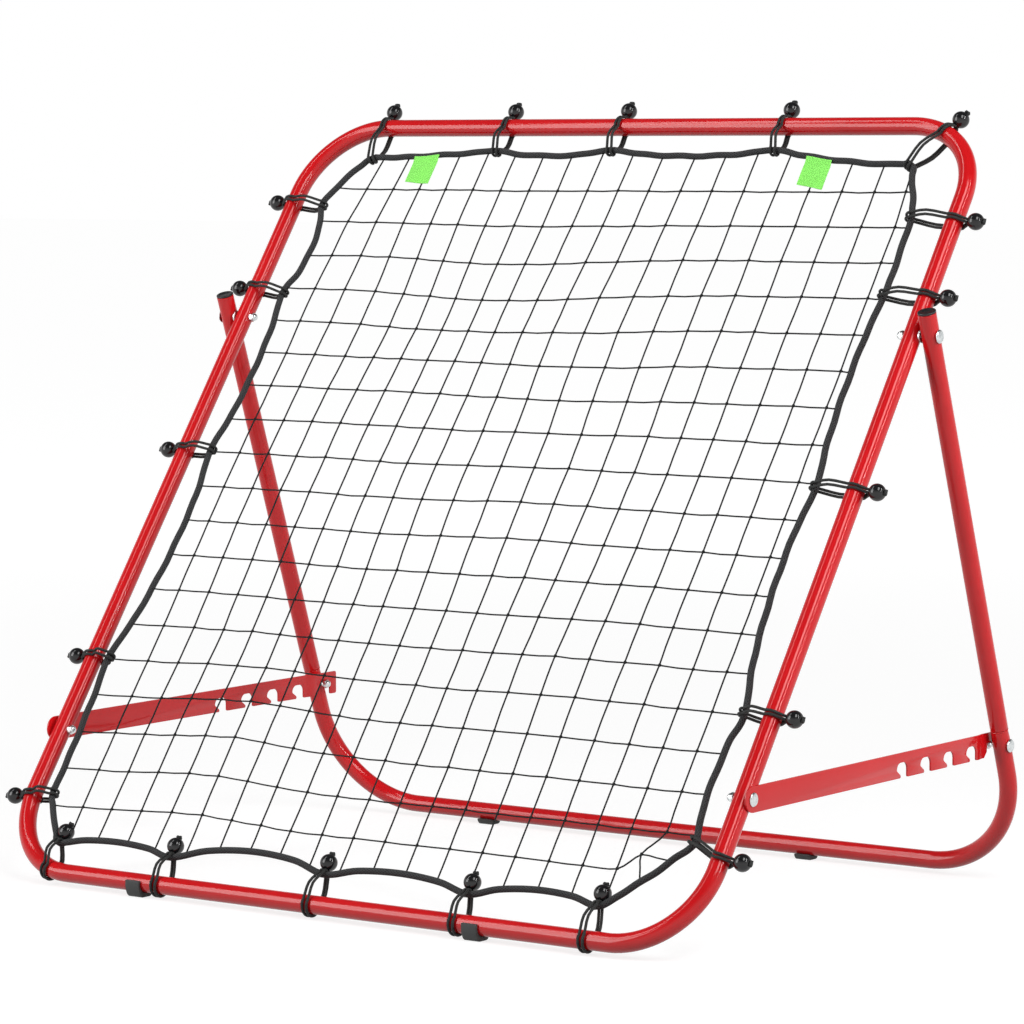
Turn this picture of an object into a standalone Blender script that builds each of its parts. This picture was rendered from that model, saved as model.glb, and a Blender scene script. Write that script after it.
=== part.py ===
"""Pitch back rebounder: a leaning net frame on a folding rear stand.

World frame: metres, +X to the right as a player faces the net, +Y away from the player, +Z up.
The origin is on the floor, at the middle of the overall width and depth.

Frame plane, the local frame of everything on the front frame: X to the right, Y square to the net
and away from the player, Z up along the frame, origin on the axis of the bottom tube. Places in it
are written (across, up, front), where front is the distance towards the player.

The front frame is one welded loop of tube. The rear stand is a U of tube with a leg pushed into
each end, and it turns on two bolts through the side tubes. Two flat notched bars turn on the side
tubes and hook over a lock bolt in each leg, which sets how far the frame leans back.
"""

from math import asin, atan2, cos, degrees, pi, radians, sin

import bmesh
import bpy
from mathutils import Matrix, Vector

# ---------------------------------------------------------------- driving sizes

CLEAR = 0.0003  # running gap between pieces that touch or turn on each other

# Steel tube, and the front frame bent from it. Widths and heights are axis to axis.
TUBE_D = 0.022
TUBE_WALL = 0.0012
FRAME_WIDTH = 1.000
FRAME_HEIGHT = 1.103
FRAME_BEND = 0.104
FRAME_LEAN = radians(35.64)

# Rear stand. Its angles are from the vertical with the lock bolts in the last slots.
STAND_LEAN = radians(19.41)
STAND_BEND = 0.130
PIVOT_UP = 0.8036
LEG_END_ABOVE_PIVOT = 0.0285
LOCK_BELOW_PIVOT = 0.5247
SEAM_ABOVE_LOCK = 0.021
SPIGOT_LENGTH = 0.044
SPIGOT_D = 0.0188
SPIGOT_WALL = 0.0012
CAP_THICKNESS = 0.0028
CAP_PLUG_LENGTH = 0.014
CAP_PLUG_D = 0.0186

# Notched bars.
BAR_PIVOT_UP = 0.191
BAR_THICKNESS = 0.002
BAR_HEIGHT = 0.0295
BAR_TAIL = 0.0133
BAR_TAIL_ROUND = 0.003
SLOT_COUNT = 5
SLOT_PITCH = 0.0532
SLOT_WIDTH = 0.0236
SLOT_CROWN = 0.0085
SLOT_MOUTH = 0.015
SLOT_LIP_RISE = 0.009
SLOT_EDGE_ROUND = 0.002
JOGGLE = 0.0025
JOGGLE_LENGTH = 0.018

# Folding: the stand's travel, and how far a bar lifts for each radian of it.
FOLD_TRAVEL = radians(47.0)
LIFT_PER_FOLD = 0.75

# Bolts, domed nuts and washers.
SHANK_D = 0.006
HEAD_D = 0.016
HEAD_HEIGHT = 0.003
NUT_CORNERS = 0.012
NUT_HEX_HEIGHT = 0.0045
NUT_DOME_HEIGHT = 0.0045
NUT_DOME_WALL = 0.0022
THREAD_DEPTH = 0.0055
WASHER_D = 0.016

# Feet: saddles with a tall arm on the outside of the object and a short one inside.
FOOT_WIDTH = 0.021
FOOT_BASE = 0.005
FOOT_WALL = 0.003
FOOT_RISE = 0.0042
FOOT_SHORT_ARM_DROP = 0.0092
FOOT_PAD = 0.012
FOOT_ACROSS = {"front_left": -0.2805, "front_right": 0.216,
               "rear_left": -0.277, "rear_right": 0.215}

# Border rope, net, ball bungees and tags.
ROPE_D = 0.008
HOLD_LENGTH = 0.010
TWINE = 0.0018
NET_COLUMNS = 13
NET_ROWS = 13
NET_SIDE_MARGIN = 0.088
NET_TOP_MARGIN = 0.100
NET_BOTTOM_MARGIN = 0.088
BALL_D = 0.0207
BALL_FROM_TUBE = {"top": 0.0138, "right": 0.0176, "left": 0.0176}
CORD_D = 0.004
CORD_SPREAD = 0.0072
CORD_PINCH = 0.0045
TAIL_LENGTH = 0.0028
NET_FROM_CORD = 0.0018
TAG_WIDTH = 0.038
TAG_LENGTH = 0.041
TAG_THICKNESS = 0.0008
TAG_ACROSS = {"left": -0.313, "right": 0.283}

# Where each ball bungee crosses its tube, where it holds the rope, and how far in from the tube's
# axis it draws the rope. The first two run along the side between the tube's corners: up from
# the left or bottom one, or with a minus back from the right or top one. Each side is in the order
# that the rope takes: along the top to the right, down the right, back along the bottom and up
# the left.
BUNGEES = {
    "top": ((0.101, 0.097, 0.048), (0.2965, 0.292, 0.036), (0.472, 0.469, 0.035),
            (-0.286, -0.288, 0.035), (-0.054, -0.088, 0.057)),
    "right": ((-0.138, -0.133, 0.060), (-0.246, -0.244, 0.058), (-0.512, -0.5095, 0.054),
              (0.294, 0.296, 0.0376), (0.1137, 0.132, 0.0405)),
    "bottom": ((-0.132, -0.134, 0.042), (-0.310, -0.311, 0.0370), (0.480, 0.481, 0.0395),
               (0.251, 0.250, 0.037), (0.077, 0.072, 0.0385)),
    "left": ((0.096, 0.1025, 0.029), (0.293, 0.2965, 0.0225), (-0.504, -0.5005, 0.040),
             (-0.2555, -0.260, 0.045), (-0.120, -0.123, 0.0465)),
}
# The share of a span where the rope's end points of a bow lie, and how much of the bow they have.
KNOTS_A_SPAN = 4
BOW_END = 0.22
BOW_END_SHARE = 0.72
# How far the rope bows in, midway from each bungee to the next one.
ROPE_BOWS = {
    "top": (0.0015, 0.0085, 0.0093, 0.005, -0.002),
    "right": (-0.001, 0.008, 0.014, 0.008, -0.005),
    "bottom": (0.013, 0.014, 0.019, 0.0105, -0.003),
    "left": (0.002, 0.017, 0.011, 0.015, -0.007),
}

# Facets.
BEND_STEPS = 6
TUBE_SIDES = 14
BORE_SIDES = 10
ROUND_SIDES = 10
ROPE_SIDES = 6
ROPE_STEPS = 1

# ---------------------------------------------------------------- places worked out from them

TUBE_R = TUBE_D / 2
SHANK_R = SHANK_D / 2
HOLE_R = SHANK_R + CLEAR
ROPE_R = ROPE_D / 2
BALL_R = BALL_D / 2
CORD_R = CORD_D / 2
SIDES = {"left": -1, "right": 1}

TUBE_HEIGHT = FOOT_BASE + CLEAR + TUBE_R
PIVOT_RISE = PIVOT_UP * cos(FRAME_LEAN)
LEG_LENGTH = PIVOT_RISE / cos(STAND_LEAN)
FOOTPRINT = PIVOT_UP * sin(FRAME_LEAN) + LEG_LENGTH * sin(STAND_LEAN)

# The rings of points that a bungee's cord takes round the tube and round the rope. The cords round
# the bottom tube reach furthest forward, and the feet of the stand furthest back.
WRAP_STEP = radians(45)
LOOP_STEP = radians(60)
WRAP_R = (TUBE_R + CLEAR + CORD_R) / cos(WRAP_STEP / 2)
LOOP_R = (ROPE_R + CLEAR + CORD_R) / cos(LOOP_STEP / 2)
FRONT_REACH = WRAP_R * cos(WRAP_STEP - (pi / 2 - FRAME_LEAN)) + CORD_R
REAR_REACH = TUBE_R + CLEAR + FOOT_WALL
FRONT_Y = (FRONT_REACH - REAR_REACH - FOOTPRINT) / 2
REAR_Y = FRONT_Y + FOOTPRINT

LEG_GAP = BAR_THICKNESS + 2 * CLEAR
SIDE_X = FRAME_WIDTH / 2
LEG_X = SIDE_X + TUBE_D + LEG_GAP
PIVOT = Vector((FRONT_Y + PIVOT_UP * sin(FRAME_LEAN), TUBE_HEIGHT + PIVOT_RISE))
BAR_PIVOT = Vector((FRONT_Y + BAR_PIVOT_UP * sin(FRAME_LEAN),
                    TUBE_HEIGHT + BAR_PIVOT_UP * cos(FRAME_LEAN)))
LOCK = PIVOT + LOCK_BELOW_PIVOT * Vector((sin(STAND_LEAN), -cos(STAND_LEAN)))
BAR_REACH = (LOCK - BAR_PIVOT).length
BAR_TILT = atan2(LOCK.y - BAR_PIVOT.y, LOCK.x - BAR_PIVOT.x)
BAR_INNER_X = SIDE_X + TUBE_R + CLEAR
SLOT_TOP = SHANK_R + CLEAR
SEAM_BELOW_PIVOT = LOCK_BELOW_PIVOT - SEAM_ABOVE_LOCK

# ---------------------------------------------------------------- materials and objects


def finish(name, color, roughness, metallic=0.0):
    """A Principled material of one colour, made once."""
    material = bpy.data.materials.get(name) or bpy.data.materials.new(name)
    material.use_nodes = True
    shader = material.node_tree.nodes["Principled BSDF"]
    shader.inputs["Base Color"].default_value = (*color, 1.0)
    shader.inputs["Roughness"].default_value = roughness
    shader.inputs["Metallic"].default_value = metallic
    return material


def red_paint():
    return finish("red_paint", (0.62, 0.012, 0.018), 0.25)


def bright_zinc():
    return finish("bright_zinc", (0.80, 0.81, 0.80), 0.25, 1.0)


def black_plastic():
    return finish("black_plastic", (0.015, 0.016, 0.018), 0.25)


def grey_rubber():
    return finish("grey_rubber", (0.065, 0.068, 0.068), 0.7)


def black_rope():
    return finish("black_rope", (0.030, 0.031, 0.033), 0.8)


def black_twine():
    return finish("black_twine", (0.015, 0.016, 0.017), 0.8)


def black_cord():
    return finish("black_cord", (0.014, 0.015, 0.015), 0.5)


def green_cloth():
    return finish("green_cloth", (0.28, 1.0, 0.14), 0.7)


def clear_scene():
    """Remove whatever objects the open file holds."""
    for old in list(bpy.data.objects):
        bpy.data.objects.remove(old, do_unlink=True)


def empty(name, location, tilt=0.0, parent=None):
    """An empty at a place, turned about X by tilt, that carries the pieces of one frame."""
    holder = bpy.data.objects.new(name, None)
    holder.location = location
    holder.rotation_euler = (tilt, 0.0, 0.0)
    holder.parent = parent
    bpy.context.scene.collection.objects.link(holder)
    return holder


def add_object(name, mesh, material, parent=None, location=(0, 0, 0), rotation=(0, 0, 0)):
    """Link a mesh to the scene as one named piece, shaded smooth except at its edges."""
    piece = bpy.data.objects.new(name, mesh)
    piece.location = location
    piece.rotation_euler = rotation
    piece.parent = parent
    bpy.context.scene.collection.objects.link(piece)
    if material and not mesh.materials:
        mesh.materials.append(material)
    mesh.shade_smooth()
    mesh.set_sharp_from_angle(angle=radians(35))
    return piece


def cut_with(piece, mesh, operation="DIFFERENCE"):
    """Cut, join or trim a piece with a mesh given in the piece's own frame."""
    name = f"{piece.name}_{operation.lower()}_{len(piece.modifiers)}"
    cutter = bpy.data.objects.new(name, mesh)
    cutter.parent = piece
    cutter.hide_render = True
    cutter.display_type = "WIRE"
    bpy.context.scene.collection.objects.link(cutter)
    modifier = piece.modifiers.new(name, "BOOLEAN")
    modifier.operation = operation
    modifier.object = cutter
    modifier.solver = "EXACT"


# ---------------------------------------------------------------- shapes


def mesh_from(name, bm):
    """Turn a bmesh into a mesh with its faces pointing out."""
    bmesh.ops.recalc_face_normals(bm, faces=bm.faces)
    mesh = bpy.data.meshes.new(name)
    bm.to_mesh(mesh)
    bm.free()
    return mesh


def cord_mesh(name, routes, radius, sides, closed=False):
    """Round tubes along routes of points, in one mesh, with filled ends where they are open."""
    curve = bpy.data.curves.new(name, "CURVE")
    curve.dimensions = "3D"
    curve.bevel_depth = radius
    curve.bevel_resolution = sides // 2 - 2
    curve.use_fill_caps = not closed
    for route in routes:
        spline = curve.splines.new("POLY")
        spline.points.add(len(route) - 1)
        for point, place in zip(spline.points, route):
            point.co = (*place, 1.0)
        spline.use_cyclic_u = closed
    holder = bpy.data.objects.new(name, curve)
    bm = bmesh.new()
    bm.from_mesh(holder.to_mesh())
    bpy.data.objects.remove(holder)
    bpy.data.curves.remove(curve)
    bmesh.ops.remove_doubles(bm, verts=bm.verts, dist=1e-6)
    return mesh_from(name, bm)


def turned_mesh(name, profile, sides, ring=False):
    """Turn a profile of (radius, height) points about Z. A ring's profile is a closed loop."""
    bm = bmesh.new()
    verts = [bm.verts.new((radius, 0.0, height)) for radius, height in profile]
    ends = verts[1:] + verts[:1] if ring else verts[1:]
    edges = [bm.edges.new(pair) for pair in zip(verts, ends)]
    bmesh.ops.spin(bm, geom=verts + edges, cent=(0, 0, 0), axis=(0, 0, 1), angle=2 * pi,
                   steps=sides, use_merge=True)
    bmesh.ops.remove_doubles(bm, verts=bm.verts, dist=1e-6)
    return mesh_from(name, bm)


def plate_mesh(name, outline, thickness):
    """A plate in the YZ plane with the given outline, from X = 0 to X = thickness."""
    bm = bmesh.new()
    face = bm.faces.new([bm.verts.new((0.0, y, z)) for y, z in outline])
    grown = bmesh.ops.extrude_face_region(bm, geom=[face])["geom"]
    bmesh.ops.translate(bm, vec=(thickness, 0, 0),
                        verts=[item for item in grown if isinstance(item, bmesh.types.BMVert)])
    return mesh_from(name, bm)


def rods_mesh(name, rods, sides):
    """Cylinders along X, one for each (middle, length, radius), in one mesh."""
    bm = bmesh.new()
    for middle, length, radius in rods:
        turn = (Matrix.Translation(middle) @ Matrix.Rotation(pi / 2, 4, "Y")
                @ Matrix.Rotation(pi / sides, 4, "Z"))
        bmesh.ops.create_cone(bm, cap_ends=True, segments=sides, radius1=radius, radius2=radius,
                              depth=length, matrix=turn)
    return mesh_from(name, bm)


def arc(center, radius, start, stop, steps):
    """Points on an arc from one angle to another, in degrees."""
    turns = (radians(start + (stop - start) * step / steps) for step in range(steps + 1))
    return [(center[0] + radius * cos(turn), center[1] + radius * sin(turn)) for turn in turns]


def turn_vector(vector, angle):
    """A side-view vector turned from Y towards Z."""
    return Vector((vector.x * cos(angle) - vector.y * sin(angle),
                   vector.x * sin(angle) + vector.y * cos(angle)))


# ---------------------------------------------------------------- front frame


def frame_axis():
    """The rounded rectangle that the front tube's axis follows, as (across, up) points."""
    x_in = SIDE_X - FRAME_BEND
    top_in = FRAME_HEIGHT - FRAME_BEND
    return (arc((x_in, top_in), FRAME_BEND, 0, 90, BEND_STEPS)
            + arc((-x_in, top_in), FRAME_BEND, 90, 180, BEND_STEPS)
            + arc((-x_in, FRAME_BEND), FRAME_BEND, 180, 270, BEND_STEPS)
            + arc((x_in, FRAME_BEND), FRAME_BEND, 270, 360, BEND_STEPS))


def build_front_frame(plane):
    """The welded tube loop, hollow, drilled across for the stand's and the bars' bolts."""
    axis = [(across, 0.0, up) for across, up in frame_axis()]
    tube = cord_mesh("front_frame", [axis], TUBE_R, TUBE_SIDES, closed=True)
    frame = add_object("front_frame", tube, red_paint(), plane)
    cut_with(frame, cord_mesh("frame_bore", [axis], TUBE_R - TUBE_WALL, BORE_SIDES, closed=True))
    holes = [((side * SIDE_X, 0.0, up), 2 * TUBE_D, HOLE_R)
             for side in SIDES.values() for up in (PIVOT_UP, BAR_PIVOT_UP)]
    cut_with(frame, rods_mesh("frame_holes", holes, ROUND_SIDES))


# ---------------------------------------------------------------- rear stand


def build_stand(plane):
    """The lower U of the rear stand. Its plane's origin is on the pivot, with Z up the legs."""
    x_in = LEG_X - STAND_BEND
    bend_down = LEG_LENGTH - STAND_BEND
    low_axis = (arc((-x_in, -bend_down), STAND_BEND, 180, 270, BEND_STEPS)
                + arc((x_in, -bend_down), STAND_BEND, 270, 360, BEND_STEPS))

    def route(end_height):
        points = [(-LEG_X, end_height), *low_axis, (LEG_X, end_height)]
        return [(across, 0.0, up) for across, up in points]

    tube = cord_mesh("stand_tube", [route(-SEAM_BELOW_PIVOT)], TUBE_R, TUBE_SIDES)
    stand = add_object("stand_tube", tube, red_paint(), plane)
    past_end = TUBE_D - SEAM_BELOW_PIVOT
    cut_with(stand, cord_mesh("stand_bore", [route(past_end)], TUBE_R - TUBE_WALL, TUBE_SIDES))
    holes = [((side * LEG_X, 0.0, -LOCK_BELOW_PIVOT), 2 * TUBE_D, HOLE_R)
             for side in SIDES.values()]
    cut_with(stand, rods_mesh("stand_holes", holes, ROUND_SIDES))


def leg_mesh():
    """A leg about its own axis, with the pivot at the origin and its swaged end below."""
    seam = -SEAM_BELOW_PIVOT + CLEAR
    tip = seam - SPIGOT_LENGTH
    bore = TUBE_R - TUBE_WALL
    spigot = SPIGOT_D / 2
    spigot_bore = spigot - SPIGOT_WALL
    neck = bore - spigot_bore
    profile = [(TUBE_R, LEG_END_ABOVE_PIVOT), (TUBE_R, seam), (spigot, seam), (spigot, tip),
               (spigot_bore, tip), (spigot_bore, seam), (bore, seam + neck),
               (bore, LEG_END_ABOVE_PIVOT)]
    return turned_mesh("leg", profile, TUBE_SIDES, ring=True)


def cap_mesh():
    """A plug with a softly domed flange, its flange's underside at the origin."""
    plug = CAP_PLUG_D / 2
    rim = CAP_THICKNESS / 3
    profile = [(0.0, -CAP_PLUG_LENGTH), (plug - rim, -CAP_PLUG_LENGTH),
               (plug, rim - CAP_PLUG_LENGTH), (plug, 0.0), (TUBE_R, 0.0),
               (TUBE_R, CAP_THICKNESS - 2 * rim), (TUBE_R - rim, CAP_THICKNESS - rim),
               (0.0, CAP_THICKNESS)]
    return turned_mesh("leg_cap", profile, TUBE_SIDES)


def build_legs(plane):
    """Both upper legs, drilled for the pivot and lock bolts, and the plugs in their top ends."""
    for name, side in SIDES.items():
        leg = add_object(f"rear_leg_{name}", leg_mesh(), red_paint(), plane,
                         (side * LEG_X, 0, 0))
        holes = [((0.0, 0.0, height), 2 * TUBE_D, HOLE_R) for height in (0.0, -LOCK_BELOW_PIVOT)]
        cut_with(leg, rods_mesh("leg_holes", holes, ROUND_SIDES))
        cap_height = LEG_END_ABOVE_PIVOT + CLEAR
        add_object(f"leg_cap_{name}", cap_mesh(), black_plastic(), plane,
                   (side * LEG_X, 0, cap_height))


# ---------------------------------------------------------------- notched bars


def lock_travel(fold):
    """Where folding takes the lock bolt, seen from the bar: (back, up) from its seat."""
    lock = PIVOT + turn_vector(LOCK - PIVOT, -fold)
    seen = turn_vector(lock - BAR_PIVOT, -LIFT_PER_FOLD * fold - BAR_TILT)
    return Vector((seen.x - BAR_REACH, seen.y))


def exit_wall(depth):
    """How far ahead of its seat the lock bolt's front reaches as it leaves past a depth."""
    low, high = 0.0, FOLD_TRAVEL / 4
    step = FOLD_TRAVEL / 1000
    for _ in range(30):
        fold = (low + high) / 2
        path = lock_travel(fold + step) - lock_travel(fold)
        ahead = Vector((path.y, -path.x)).normalized() * (SHANK_R + 2 * CLEAR)
        front = lock_travel(fold) + ahead
        if front.y > -depth:
            low = fold
        else:
            high = fold
    return -front.x


def slot_points(middle, half_height, is_lock_slot):
    """A slot's wall from the front of its mouth to the back, open at the bar's lower edge.

    A lip closes the front of the mouth, so that the bolt only leaves along the back wall. The
    lock slot's front wall slopes away instead, clear of the bolt as bar and stand turn together.
    """
    half = SLOT_WIDTH / 2
    inner = half - SLOT_CROWN
    shoulder = SLOT_TOP - SLOT_CROWN
    crown = (arc((middle - inner, shoulder), SLOT_CROWN, 180, 90, 4)
             + arc((middle + inner, shoulder), SLOT_CROWN, 90, 0, 4))
    back = [(middle + half, -half_height + SLOT_EDGE_ROUND),
            (middle + half + SLOT_EDGE_ROUND, -half_height)]
    if is_lock_slot:
        depths = [half_height - (half_height + shoulder) * step / 3 for step in range(3)]
        front = [(middle - max(half, exit_wall(depth)), -depth) for depth in depths]
    else:
        lip = middle + half - SLOT_MOUTH
        front = [(lip - SLOT_EDGE_ROUND, -half_height),
                 (lip, -half_height + SLOT_EDGE_ROUND),
                 (lip - SLOT_EDGE_ROUND, -half_height + SLOT_LIP_RISE / 2),
                 (middle - half, -half_height + SLOT_LIP_RISE)]
    return front + crown + back


def bar_outline():
    """The bar in its own frame: its pivot at the origin and the lock slot on the axis."""
    half = BAR_HEIGHT / 2
    end = BAR_REACH + SLOT_WIDTH / 2 + BAR_TAIL
    outline = arc((0.0, 0.0), half, 90, 270, 10)
    for place in range(SLOT_COUNT - 1, -1, -1):
        outline += slot_points(BAR_REACH - place * SLOT_PITCH, half, place == 0)
    inset = BAR_TAIL_ROUND
    outline += arc((end - inset, inset - half), inset, -90, 0, 3)
    outline += arc((end - inset, half - inset), inset, 0, 90, 3)
    return outline


def bar_mesh(side):
    """A bar with its end stepped in, so that it passes inside the leg."""
    mesh = plate_mesh("bar", bar_outline(), BAR_THICKNESS)
    bm = bmesh.new()
    bm.from_mesh(mesh)
    bpy.data.meshes.remove(mesh)
    step_end = BAR_REACH - max(SLOT_WIDTH / 2, exit_wall(BAR_HEIGHT / 2)) - SLOT_EDGE_ROUND
    step_start = step_end - JOGGLE_LENGTH
    for station in (step_start, step_end):
        bmesh.ops.bisect_plane(bm, geom=bm.verts[:] + bm.edges[:] + bm.faces[:], dist=1e-7,
                               plane_co=(0, station, 0), plane_no=(0, 1, 0))
    for vert in bm.verts:
        share = min(max((vert.co.y - step_start) / JOGGLE_LENGTH, 0.0), 1.0)
        vert.co.x = side * (vert.co.x - JOGGLE * share)
    return mesh_from("bar", bm)


def build_bars():
    """Both notched bars, each on an empty at its own pivot."""
    for name, side in SIDES.items():
        hinge = empty(f"bar_hinge_{name}", (side * BAR_INNER_X, *BAR_PIVOT), BAR_TILT)
        bar = add_object(f"notched_bar_{name}", bar_mesh(side), red_paint(), hinge)
        hole = [((0.0, 0.0, 0.0), 4 * BAR_THICKNESS, HOLE_R)]
        cut_with(bar, rods_mesh("bar_hole", hole, ROUND_SIDES))


# ---------------------------------------------------------------- bolts, nuts and washers


def bolt_mesh(grip):
    """A bolt with a low domed head over the origin and its shank down -Z through the grip."""
    head = HEAD_D / 2
    profile = [(0.0, -grip), (SHANK_R, -grip), (SHANK_R, 0.0), (head, 0.0),
               (head, HEAD_HEIGHT * 0.25), (head * 0.8, HEAD_HEIGHT * 0.65),
               (head * 0.4, HEAD_HEIGHT * 0.95), (0.0, HEAD_HEIGHT)]
    return turned_mesh("bolt", profile, ROUND_SIDES)


def nut_mesh():
    """A domed nut: a hexagon on the origin, a round dome up Z, and a blind hole for the shank."""
    hexagon = turned_mesh("nut", [(0.0, 0.0), (NUT_CORNERS / 2, 0.0),
                                  (NUT_CORNERS / 2, NUT_HEX_HEIGHT), (0.0, NUT_HEX_HEIGHT)], 6)
    dome_r = NUT_CORNERS / 2 * cos(pi / 6) - CLEAR
    top = NUT_HEX_HEIGHT + NUT_DOME_HEIGHT
    crown = [(dome_r * cos(turn), NUT_HEX_HEIGHT + NUT_DOME_HEIGHT * sin(turn))
             for turn in (0.0, radians(35), radians(65))]
    dome = turned_mesh("nut_dome", [(0.0, NUT_HEX_HEIGHT / 2), (dome_r, NUT_HEX_HEIGHT / 2),
                                    *crown, (0.0, top)], ROUND_SIDES)
    bore = turned_mesh("nut_bore", [(0.0, -NUT_HEX_HEIGHT), (HOLE_R, -NUT_HEX_HEIGHT),
                                    (HOLE_R, top - NUT_DOME_WALL), (0.0, top - NUT_DOME_WALL)],
                       ROUND_SIDES)
    return hexagon, dome, bore


def add_fastener(name, side, parent, head_x, nut_x, place, rotation=0.0):
    """A bolt from the outside and its nut inside, through the same axis along X.

    head_x and nut_x are the faces that the head and the nut rest on, and place is the axis in
    the parent's frame.
    """
    side_name = "left" if side < 0 else "right"
    grip = head_x - nut_x + 2 * CLEAR + THREAD_DEPTH
    outward = (rotation, side * pi / 2, 0)
    inward = (rotation, -side * pi / 2, 0)
    add_object(f"{name}_bolt_{side_name}", bolt_mesh(grip), bright_zinc(), parent,
               (side * (head_x + CLEAR), *place), outward)
    hexagon, dome, bore = nut_mesh()
    nut = add_object(f"{name}_nut_{side_name}", hexagon, bright_zinc(), parent,
                     (side * (nut_x - CLEAR), *place), inward)
    cut_with(nut, dome, "UNION")
    cut_with(nut, bore)


def build_fasteners(front_plane, rear_plane):
    """Pivot bolts and bar bolts on the front frame, and lock bolts on the stand."""
    leg_outside = LEG_X + TUBE_R
    frame_inside = SIDE_X - TUBE_R
    bar_outside = BAR_INNER_X + BAR_THICKNESS
    for side in SIDES.values():
        add_fastener("pivot", side, front_plane, leg_outside, frame_inside, (0.0, PIVOT_UP))
        add_fastener("bar", side, front_plane, bar_outside, frame_inside, (0.0, BAR_PIVOT_UP))
        add_fastener("lock", side, rear_plane, leg_outside, BAR_INNER_X - JOGGLE,
                     (0.0, -LOCK_BELOW_PIVOT))


def build_washers(plane):
    """The washers that space the legs off the front frame by a bar's thickness."""
    half = BAR_THICKNESS / 2
    profile = [(HOLE_R, -half), (WASHER_D / 2, -half), (WASHER_D / 2, half), (HOLE_R, half)]
    for name, side in SIDES.items():
        middle = side * (SIDE_X + TUBE_R + LEG_GAP / 2)
        add_object(f"pivot_washer_{name}", turned_mesh("washer", profile, ROUND_SIDES, ring=True),
                   bright_zinc(), plane, (middle, 0.0, PIVOT_UP), (0, pi / 2, 0))


# ---------------------------------------------------------------- feet


def foot_mesh(outside):
    """A saddle under a tube, its middle on the tube's axis and its tall arm at outside, -1 or 1.

    Below the tall arm its outer side swells evenly into a flat pad under the tube.
    """
    seat = TUBE_R + CLEAR
    half = seat + FOOT_WALL
    deep = seat + FOOT_BASE
    pad = FOOT_PAD / 2

    def swell(start, stop, steps):
        turns = (start + (stop - start) * step / steps for step in range(steps + 1))
        return [(pad + (half - pad) * cos(turn), -deep * sin(turn)) for turn in turns]

    short = asin(FOOT_SHORT_ARM_DROP / deep)
    outline = [(-half, FOOT_RISE)] + [(-along, up) for along, up in swell(0.0, pi / 2, 5)]
    outline += swell(pi / 2, short, 4)
    outline += arc((0.0, 0.0), seat, -degrees(asin(FOOT_SHORT_ARM_DROP / seat)),
                   -180 - degrees(asin(FOOT_RISE / seat)), 11)
    mesh = plate_mesh("foot", [(-outside * along, up) for along, up in outline], FOOT_WIDTH)
    mesh.transform(Matrix.Translation((-FOOT_WIDTH / 2, 0, 0)))
    return mesh


def build_feet(stand_axis):
    """Four level feet, two under the front frame and two under the stand."""
    for name, across in FOOT_ACROSS.items():
        is_front = name.startswith("front")
        holder = None if is_front else stand_axis
        place = (FRONT_Y, TUBE_HEIGHT) if is_front else (REAR_Y - PIVOT.x, TUBE_HEIGHT - PIVOT.y)
        add_object(f"foot_{name}", foot_mesh(-1 if is_front else 1), grey_rubber(), holder,
                   (across, *place))


# ---------------------------------------------------------------- rope, net and tags


def on_side(side, offset, level):
    """A point of the frame plane, from its places along a side and out from the middle."""
    middle = FRAME_HEIGHT / 2
    return {"top": Vector((offset, middle + level)),
            "bottom": Vector((offset, middle - level)),
            "right": Vector((level, middle + offset)),
            "left": Vector((-level, middle + offset))}[side]


def side_sizes(side):
    """Half the length of a side of the tube's axis, and its distance from the middle."""
    if side in ("top", "bottom"):
        return SIDE_X, FRAME_HEIGHT / 2
    return FRAME_HEIGHT / 2, SIDE_X


def from_middle(side, place):
    """A place that is given from a corner of its side, measured from the side's middle."""
    reach, _ = side_sizes(side)
    return place - reach if place > 0 else place + reach


def tube_station(side, place):
    """The front tube's axis at a place along a side, with the outward and along directions."""
    reach, span = side_sizes(side)
    offset = from_middle(side, place)
    past_bend = abs(offset) - (reach - FRAME_BEND)
    out, level = Vector((0.0, 1.0)), span
    if past_bend > 0:
        lean = past_bend / FRAME_BEND
        rise = (1 - lean * lean) ** 0.5
        out = Vector((lean if offset > 0 else -lean, rise))
        level = span - FRAME_BEND + FRAME_BEND * rise
    outward = on_side(side, out.x, out.y) - on_side(side, 0.0, 0.0)
    return on_side(side, offset, level), outward, Vector((outward.y, -outward.x))


def rope_station(side, place, inset):
    """Where a bungee holds the rope, as (across, up)."""
    _, span = side_sizes(side)
    return on_side(side, from_middle(side, place), span - inset)


def rope_knots():
    """The rope's chosen points in order round the net: a hold, then three along its bow."""
    holds = [rope_station(side, place, inset)
             for side, rows in BUNGEES.items() for _, place, inset in rows]
    bows = [bow for rows in ROPE_BOWS.values() for bow in rows]
    knots = []
    for place, bow in enumerate(bows):
        here, there = holds[place], holds[(place + 1) % len(holds)]
        run = (there - here).normalized()
        bend = bow * Vector((run.y, -run.x))
        knots += [here, here.lerp(there, BOW_END) + bend * BOW_END_SHARE,
                  here.lerp(there, 0.5) + bend, here.lerp(there, 1 - BOW_END) + bend * BOW_END_SHARE]
    return knots


def rope_run(knots, place):
    """The direction that the rope takes through one of its knots."""
    ahead = (knots[(place + 1) % len(knots)] - knots[place]).normalized()
    behind = (knots[place] - knots[place - 1]).normalized()
    return (ahead + behind).normalized()


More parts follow.
